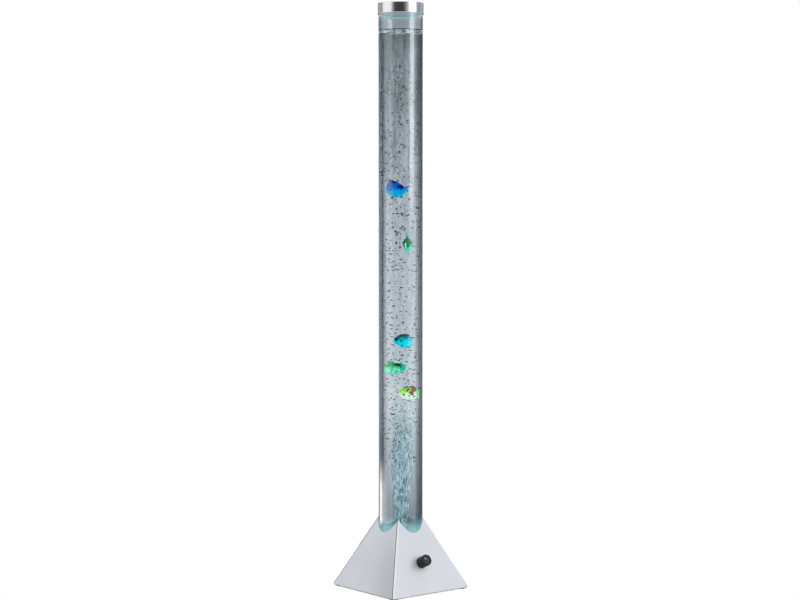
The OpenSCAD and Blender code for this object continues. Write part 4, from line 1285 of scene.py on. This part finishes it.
def fish_body(bm, size):
    """Rings of points from the nose, at minus X, to the tail's root."""
    rings = []
    for i in range(body_rings + 1):
        s = nose_from + (1 - nose_from) * (i / body_rings) ** 1.4
        ring = []
        for k in range(body_sides):
            angle = 2 * math.pi * k / body_sides
            keel = 1 - 0.12 * abs(math.sin(angle)) ** 3
            ring.append(bm.verts.new((
                size.x * (body_share * s - 0.5),
                size.y * body_thick(s) * math.cos(angle) * keel,
                size.z * body_half(s) * math.sin(angle),
            )))
        rings.append(ring)
    for low, high in zip(rings, rings[1:]):
        for k in range(body_sides):
            n = (k + 1) % body_sides
            bm.faces.new((low[k], low[n], high[n], high[k]))
    bm.faces.new(rings[0][::-1])
    bm.faces.new(rings[-1])


print("fish body:", (body_rings + 1) * body_sides, "points")

# %% [markdown]
# Each fin's outline is given as shares of the fish's length and height. Its first and last points are
# the root's ends, and the points between them are the tips.

# %% Fish fins
raised_back = [
    (-0.34, 0.1), (-0.33, 0.3), (-0.38, 0.5), (-0.2, 0.48), (0, 0.38), (0.14, 0.28), (0.28, 0.17),
    (0.3, 0.03),
]
deep_back = [
    (-0.3, 0.12), (-0.39, 0.24), (-0.3, 0.27), (-0.29, 0.39), (-0.2, 0.37), (-0.14, 0.48), (-0.05, 0.44),
    (0.04, 0.5), (0.2, 0.48), (0.36, 0.44), (0.42, 0.28), (0.34, 0.12), (0.27, 0.03),
]
humped_back = [
    (-0.28, 0.12), (-0.28, 0.25), (-0.18, 0.26), (-0.08, 0.32), (0.02, 0.31), (0.1, 0.43), (0.2, 0.5),
    (0.33, 0.46), (0.37, 0.3), (0.32, 0.1), (0.27, 0.03),
]
short_back = [
    (-0.4, 0.05), (-0.45, 0.14), (-0.4, 0.27), (-0.31, 0.3), (-0.28, 0.4), (-0.18, 0.38), (-0.12, 0.48),
    (-0.03, 0.45), (0.06, 0.5), (0.19, 0.48), (0.27, 0.34), (0.28, 0.12), (0.24, 0.03),
]
belly_front = [(-0.24, -0.16), (-0.26, -0.46), (-0.15, -0.5), (-0.08, -0.2)]
belly_rear = [(0.02, -0.14), (0.06, -0.42), (0.16, -0.38), (0.25, -0.03)]
keeled_belly = [
    (-0.24, -0.16), (-0.27, -0.44), (-0.2, -0.5), (-0.14, -0.43), (0, -0.4), (0.1, -0.4), (0.18, -0.44),
    (0.24, -0.37), (0.3, -0.24), (0.38, -0.14), (0.3, -0.03),
]
deep_belly = [
    (-0.28, -0.12), (-0.24, -0.3), (-0.15, -0.45), (0, -0.48), (0.12, -0.5), (0.31, -0.48), (0.43, -0.42),
    (0.36, -0.14), (0.27, -0.03),
]
humped_belly = [
    (-0.32, -0.12), (-0.31, -0.27), (-0.15, -0.4), (0, -0.45), (0.13, -0.5), (0.27, -0.48), (0.38, -0.42),
    (0.36, -0.12), (0.27, -0.03),
]
short_belly = [
    (-0.4, -0.05), (-0.46, -0.18), (-0.38, -0.36), (-0.22, -0.46), (0, -0.49), (0.19, -0.5), (0.28, -0.43),
    (0.29, -0.2), (0.25, -0.05),
]
fan_tail = [
    (0.28, 0.03), (0.38, 0.19), (0.47, 0.24), (0.5, 0.1), (0.5, -0.1), (0.47, -0.24), (0.38, -0.19),
    (0.28, -0.03),
]
forked_tail = [
    (0.28, 0.03), (0.4, 0.15), (0.5, 0.17), (0.44, 0.02), (0.5, -0.14), (0.4, -0.12), (0.28, -0.03),
]
wide_tail = [
    (0.28, 0.03), (0.38, 0.34), (0.45, 0.38), (0.5, 0.2), (0.5, -0.2), (0.48, -0.42), (0.38, -0.44),
    (0.28, -0.03),
]
blunt_tail = [
    (0.28, 0.03), (0.38, 0.17), (0.48, 0.2), (0.5, 0.05), (0.5, -0.16), (0.48, -0.31), (0.39, -0.4),
    (0.28, -0.03),
]
round_tail = [
    (0.28, 0.04), (0.34, 0.15), (0.42, 0.15), (0.48, 0.06), (0.5, -0.09), (0.49, -0.24), (0.43, -0.36),
    (0.33, -0.42), (0.25, -0.05),
]
fin_half_root, fin_half_tip, side_fin_half = 0.8 * MM, 0.35 * MM, 0.3 * MM


def along_line(points, t):
    """The point at share t of a line's length."""
    points = [Vector(point) for point in points]
    lengths = [(b - a).length for a, b in zip(points, points[1:])]
    left = t * sum(lengths)
    for a, b, length in zip(points, points[1:], lengths):
        if left <= length or b is points[-1]:
            return a.lerp(b, min(1.0, left / length))
        left -= length


def cover_grids(bm, front, rear, order):
    """Faces over two grids of points, each a list of equally long lines, and round their edges."""
    columns, rows = len(front) - 1, len(front[0]) - 1
    for sheet, turn in ((front, order), (rear, -order)):
        for a, b in zip(sheet, sheet[1:]):
            for r in range(rows):
                bm.faces.new((a[r], b[r], b[r + 1], a[r + 1])[::turn])
    for c in range(columns):
        for r in (0, rows):
            bm.faces.new((front[c][r], front[c + 1][r], rear[c + 1][r], rear[c][r]))
    for c in (0, columns):
        for r in range(rows):
            bm.faces.new((front[c][r], front[c][r + 1], rear[c][r + 1], rear[c][r]))


def ray_fin(bm, outline, size, rays, per_ray=6, rows=6, notch=0.07):
    """A fan of rays between the outline's root and its tips, with a web that is thinner between them."""
    columns = rays * per_ray
    sheets = {1: [], -1: []}
    for side in sheets:
        for c in range(columns + 1):
            t = c / columns
            root = along_line([outline[0], outline[-1]], t)
            tip = along_line(outline[1:-1], t)
            ridge = 0.5 + 0.5 * math.cos(2 * math.pi * rays * t)
            line = []
            for r in range(rows + 1):
                v = r / rows
                reach = v * (1 - notch * (1 - ridge) * v)
                spot = root.lerp(tip, reach)
                half = (fin_half_root + (fin_half_tip - fin_half_root) * v) * (0.55 + 0.45 * ridge)
                line.append(bm.verts.new((spot.x * size.x, side * half, spot.y * size.z)))
            sheets[side].append(line)
    cover_grids(bm, sheets[1], sheets[-1], 1)


def side_fin(bm, size, side, rays=5, per_ray=4, rows=4, spread=38, notch=0.05):
    """A small fan on the fish's flank, standing out a little."""
    root = Vector((-0.1 * size.x, side * size.y * 0.40, -0.08 * size.z))
    columns = rays * per_ray
    lines = []
    for c in range(columns + 1):
        angle = math.radians(-spread + 2 * spread * c / columns)
        ridge = 0.5 + 0.5 * math.cos(2 * math.pi * rays * c / columns)
        line = []
        for r in range(rows + 1):
            v = r / rows
            reach = (0.05 + 0.95 * v) * size.x * 0.17 * (1 - notch * (1 - ridge))
            out = side * size.y * (0.02 + 0.1 * v)
            down = -reach * math.sin(angle) - 0.02 * size.z * v
            line.append(root + Vector((reach * math.cos(angle), out, down)))
        lines.append(line)
    half = Vector((0, side * side_fin_half, 0))
    outer = [[bm.verts.new(p + half) for p in line] for line in lines]
    inner = [[bm.verts.new(p - half) for p in line] for line in lines]
    cover_grids(bm, outer, inner, side)


thickness = [round(2 * half / MM, 1) for half in (fin_half_root, fin_half_tip)]
print("fins:", thickness[0], "mm thick at the root and", thickness[1], "mm at the tips")

# %% [markdown]
# The eye is a low dome with a pale iris and a black pupil. The two are told apart by face, so one fish
# carries three materials: its paint, the iris and the pupil.

# %% Fish eyes
EYE_IRIS, EYE_PUPIL = 1, 2
eye_r = 2.1 * MM
eye_dome = [(1.0, -0.4), (1.0, 0.1), (0.86, 0.34), (0.6, 0.5), (0.3, 0.6), (0.0, 0.63)]
pupil_ring = 2
flattest, sunk = 0.95, 0.96


def fish_eye(bm, size, spot, side, sides=20):
    """A dome on one side of the head, at shares of the fish's length and height."""
    s = spot[0] / body_share
    x, z = (spot[0] - 0.5) * size.x, spot[1] * size.z
    level = min(flattest, abs(z) / (size.z * body_half(s)))
    y = size.y * body_thick(s) * math.sqrt(1 - level * level) * sunk
    angles = [2 * math.pi * k / sides for k in range(sides)]
    rings = []
    for share, lift in eye_dome:
        radius, out = eye_r * share, side * (y + eye_r * lift)
        rings.append([
            bm.verts.new((x + radius * math.cos(angle), out, z + radius * math.sin(angle)))
            for angle in angles])
    for ring_no, (low, high) in enumerate(zip(rings, rings[1:])):
        for k in range(sides):
            n = (k + 1) % sides
            face = bm.faces.new((low[k], low[n], high[n], high[k])[::-side])
            face.material_index = EYE_PUPIL if ring_no >= pupil_ring else EYE_IRIS
    cap = bm.faces.new(rings[0][::side])
    cap.material_index = EYE_IRIS


def fish_mesh(name, fins, eye_spot):
    """The whole fish in its own frame, with its UV map, then turned and moved to its place."""
    size = fish_size[name]
    bm = bmesh.new()
    fish_body(bm, size)
    for outline, rays in fins:
        ray_fin(bm, outline, size, rays)
    for side in (-1, 1):
        side_fin(bm, size, side)
        fish_eye(bm, size, eye_spot, side)
    bmesh.ops.remove_doubles(bm, verts=bm.verts, dist=weld)
    bmesh.ops.recalc_face_normals(bm, faces=bm.faces)
    uv = bm.loops.layers.uv.new("skin")
    for face in bm.faces:
        for loop in face.loops:
            loop[uv].uv = (loop.vert.co.x / size.x + 0.5, loop.vert.co.z / size.z + 0.5)
    bm.transform(Matrix.Translation(fish_place[name]) @ Matrix.Rotation(fish_angle(name), 4, "Z"))
    mesh = bpy.data.meshes.new(name)
    bm.to_mesh(mesh)
    bm.free()
    return smooth(mesh, 40)


print("eyes:", round(2 * eye_r / MM, 1), "mm across")

# %% [markdown]
# The paint is sprayed in bands from back to belly, with ragged borders, over moulded scales. The bands
# are a ramp over the height that a noise has made uneven. Accents are soft patches on the flank, each
# given as a share of the length, a share of the height, the patch's reach along both, and a colour.
# Spots are small and nearly black. The tail's end may have a colour of its own. A crest is a painted
# highlight: a pale line down the middle of the head, which shows on the fish that swims towards the
# camera. The paint also has a painted glow, which keeps it bright behind the tinted water.

# %% Fish paint
spot_edge, spot_colour = (0.045, 0.06), (0.02, 0.01, 0.004)
tail_end = (0.925, 0.965)
crest_highlight_edge, crest_highlight_behind = (0.7 * MM, 1.5 * MM), 0.3


def fish_paint(name, bands, accents=(), spots=(), tail_tint=None, crest_highlight=None, glow=0.5):
    material, web = fresh(name)
    uv = web.add("ShaderNodeTexCoord", out="UV")
    length, height = uv.part("X"), uv.part("Y")
    ragged = noise(web, place_on(web, (1, 1.3, 1), source="UV"), 9.0, detail=4.0)
    fine = noise(web, place_on(web, (26, 6, 1), source="UV"), 1.0, detail=3.0)
    level = height + (ragged - 0.5) * 0.16 + (fine - 0.5) * 0.05
    ribs = noise(web, place_on(web, (30, 4, 1), source="UV"), 1.0, detail=2.0).step(0.4, 0.56)
    colour = level.ramp(*bands).scaled(ribs.between(0.72, 1.0))
    for x, y, long_r, tall_r, tint in accents:
        dx = (length - x) / long_r
        dy = (height - y) / tall_r
        distance = (dx * dx + dy * dy) ** 0.5 + (ragged - 0.5) * 0.5
        colour = (1 - distance.step(0.7, 1.05)).blend(colour, tint)
    for x, y in spots:
        distance = ((length - x) ** 2.0 + (height - y) ** 2.0) ** 0.5
        colour = (1 - distance.step(*spot_edge)).blend(colour, spot_colour)
    if tail_tint is not None:
        colour = length.step(*tail_end).blend(colour, tail_tint)
    # Painted highlight: a pale line down the middle of the head.
    if crest_highlight is not None:
        fish, low, high, tint = crest_highlight
        cos, sin = fish_turn(fish)
        place = web.add("ShaderNodeTexCoord", out="Object")
        aside = (place.part("Y") - fish_place[fish].y) * cos - (place.part("X") - fish_place[fish].x) * sin
        line = (1 - aside.absolute().step(*crest_highlight_edge)) * (length < crest_highlight_behind)
        line = line * height.step(low, low + 0.06) * (1 - height.step(high - 0.1, high))
        colour = line.blend(colour, tint)
    scale_place = place_on(web, (1, 0.8, 1), source="UV")
    scales = web.add("ShaderNodeTexVoronoi", values={"Vector": scale_place, "Scale": 30.0})
    # The emission is a painted glow in the paint's own colour.
    return surfaced(material, web, {
        "Base Color": colour,
        "Roughness": 0.3 + fine * 0.12,
        "Specular IOR Level": 0.03,
        "Emission Color": colour,
        "Emission Strength": glow,
        "Normal": relief(web, scales, 0.25 * MM, 0.7),
    })


def eye_finish(name, colour, edge):
    material, web = fresh(name)
    tone = noise(web, place_on(web), 1500)
    return surfaced(material, web, {
        "Base Color": tone.blend(colour, edge),
        "Roughness": 0.08 + tone * 0.05,
        "Coat Weight": 1.0,
    })


paints = {
    "fish_1": fish_paint("paint_blue", [
        (0.0, (0.0, 0.06, 0.3)), (0.07, (0.0, 0.2, 0.6)), (0.14, (0.0, 0.66, 1.0)),
        (0.36, (0.0, 0.58, 1.0)), (0.48, (0.0, 0.3, 0.95)), (0.62, (0.0, 0.2, 0.85)),
        (0.76, (0.0, 0.13, 0.65)), (0.95, (0.0, 0.16, 0.4)),
    ], accents=[
        (0.36, 0.84, 0.12, 0.09, (0.0, 0.01, 0.14)), (0.66, 0.62, 0.2, 0.12, (0.0, 0.012, 0.16)),
        (0.02, 0.5, 0.05, 0.16, (0.0, 0.5, 0.8)), (0.3, 0.04, 0.1, 0.1, (0.0, 0.05, 0.2)),
        (0.7, 0.1, 0.06, 0.08, (0.0, 0.12, 0.22)),
    ], tail_tint=(0.0, 0.03, 0.2)),
    "fish_2": fish_paint("paint_mint", [
        (0.05, (0.0, 0.9, 0.6)), (0.3, (0.02, 1.0, 0.62)), (0.42, (0.0, 0.85, 0.42)),
        (0.55, (0.0, 0.36, 0.12)), (0.8, (0.0, 0.2, 0.07)), (0.92, (0.0, 0.6, 0.3)),
    ], accents=[(0.1, 0.56, 0.14, 0.26, (0.0, 0.2, 0.06))], crest_highlight=("fish_2", 0.3, 0.62, (0.6, 1.0, 0.8))),
    "fish_3": fish_paint("paint_cyan", [
        (0.02, (0.0, 0.5, 0.6)), (0.12, (0.0, 0.95, 1.0)), (0.45, (0.0, 0.8, 1.0)),
        (0.58, (0.0, 0.55, 0.75)), (0.7, (0.0, 0.2, 0.36)), (0.9, (0.0, 0.06, 0.12)),
    ], accents=[
        (0.47, 0.62, 0.13, 0.16, (0.0, 0.5, 0.25)), (0.14, 0.62, 0.1, 0.2, (0.0, 0.05, 0.1)),
        (0.9, 0.7, 0.14, 0.2, (0.0, 0.7, 0.85)),
    ]),
    "fish_4": fish_paint("paint_green", [
        (0.02, (0.0, 0.45, 0.25)), (0.1, (0.05, 0.95, 0.65)), (0.3, (0.3, 1.0, 0.72)),
        (0.48, (0.18, 0.95, 0.42)), (0.6, (0.0, 0.45, 0.14)), (0.8, (0.0, 0.4, 0.16)),
        (0.95, (0.02, 0.55, 0.28)),
    ], accents=[(0.14, 0.5, 0.2, 0.26, (0.0, 0.65, 0.4)), (0.38, 0.7, 0.2, 0.07, (0.0, 0.02, 0.015))]),
    "fish_5": fish_paint("paint_lime", [
        (0.02, (0.45, 0.8, 0.5)), (0.06, (0.8, 0.95, 0.8)), (0.34, (0.85, 0.95, 0.75)),
        (0.46, (0.6, 0.95, 0.3)), (0.58, (0.42, 0.85, 0.1)), (0.8, (0.26, 0.55, 0.05)),
        (0.9, (0.06, 0.03, 0.004)),
    ], accents=[
        (0.67, 0.74, 0.14, 0.24, (0.2, 0.01, 0.0)), (0.58, 0.54, 0.1, 0.14, (0.2, 0.01, 0.0)),
        (0.62, 0.4, 0.07, 0.12, (0.12, 0.015, 0.0)), (0.9, 0.42, 0.13, 0.3, (0.2, 0.65, 0.3)),
    ], spots=[
        (0.43, 0.72), (0.4, 0.64), (0.24, 0.38), (0.51, 0.5), (0.59, 0.4), (0.48, 0.28), (0.7, 0.23),
    ], tail_tint=(0.0, 0.14, 0.04), glow=0.7),
}
iris = eye_finish("eye_iris", (0.16, 0.22, 0.16), (0.08, 0.12, 0.1))
pupil = eye_finish("eye_pupil", (0.003, 0.003, 0.005), (0.009, 0.009, 0.012))
fish_slots = {"fish_1": "blue", "fish_2": "mint", "fish_3": "cyan", "fish_4": "green", "fish_5": "lime"}
fish_forms = {
    "fish_1": ([(raised_back, 9), (keeled_belly, 10), (forked_tail, 7)], (0.24, -0.02)),
    "fish_2": ([(raised_back, 9), (belly_front, 3), (belly_rear, 4), (fan_tail, 7)], (0.2, 0.08)),
    "fish_3": ([(deep_back, 12), (deep_belly, 11), (wide_tail, 9)], (0.41, 0.0)),
    "fish_4": ([(humped_back, 11), (humped_belly, 11), (blunt_tail, 8)], (0.22, 0.06)),
    "fish_5": ([(short_back, 11), (short_belly, 11), (round_tail, 8)], (0.45, 0.22)),
}
for name, form in fish_forms.items():
    mesh = fish_mesh(name, *form)
    swimmer = piece(f"painted_{name}", mesh, None, name, f"fish_{fish_slots[name]}", name)
    for material in (paints[name], iris, pupil):
        mesh.materials.append(material)
    print(swimmer.name, len(mesh.polygons), "faces")

# %% [markdown]
# ## Finishes on the working solids
# Every solid that still shows gets its finish by its record slot. Slots that only new pieces use are
# filled too, so nothing keeps a flat colour.

# %% Paint the working solids
finishes["silver_sheet"] = cover.data.materials[0]
finishes["insert_plastic"] = pointer_disc()
for name, colour in fish_slots.items():
    finishes[f"fish_{colour}"] = paints[name]
painted = 0
for subpart in frame["record"]["subparts"]:
    node = frame["nodes"][subpart["node"]]
    for socket in node.material_slots:
        socket.material = finishes[subpart["material_slot"]]
        painted += 1
print("painted", painted, "slots on the working solids")
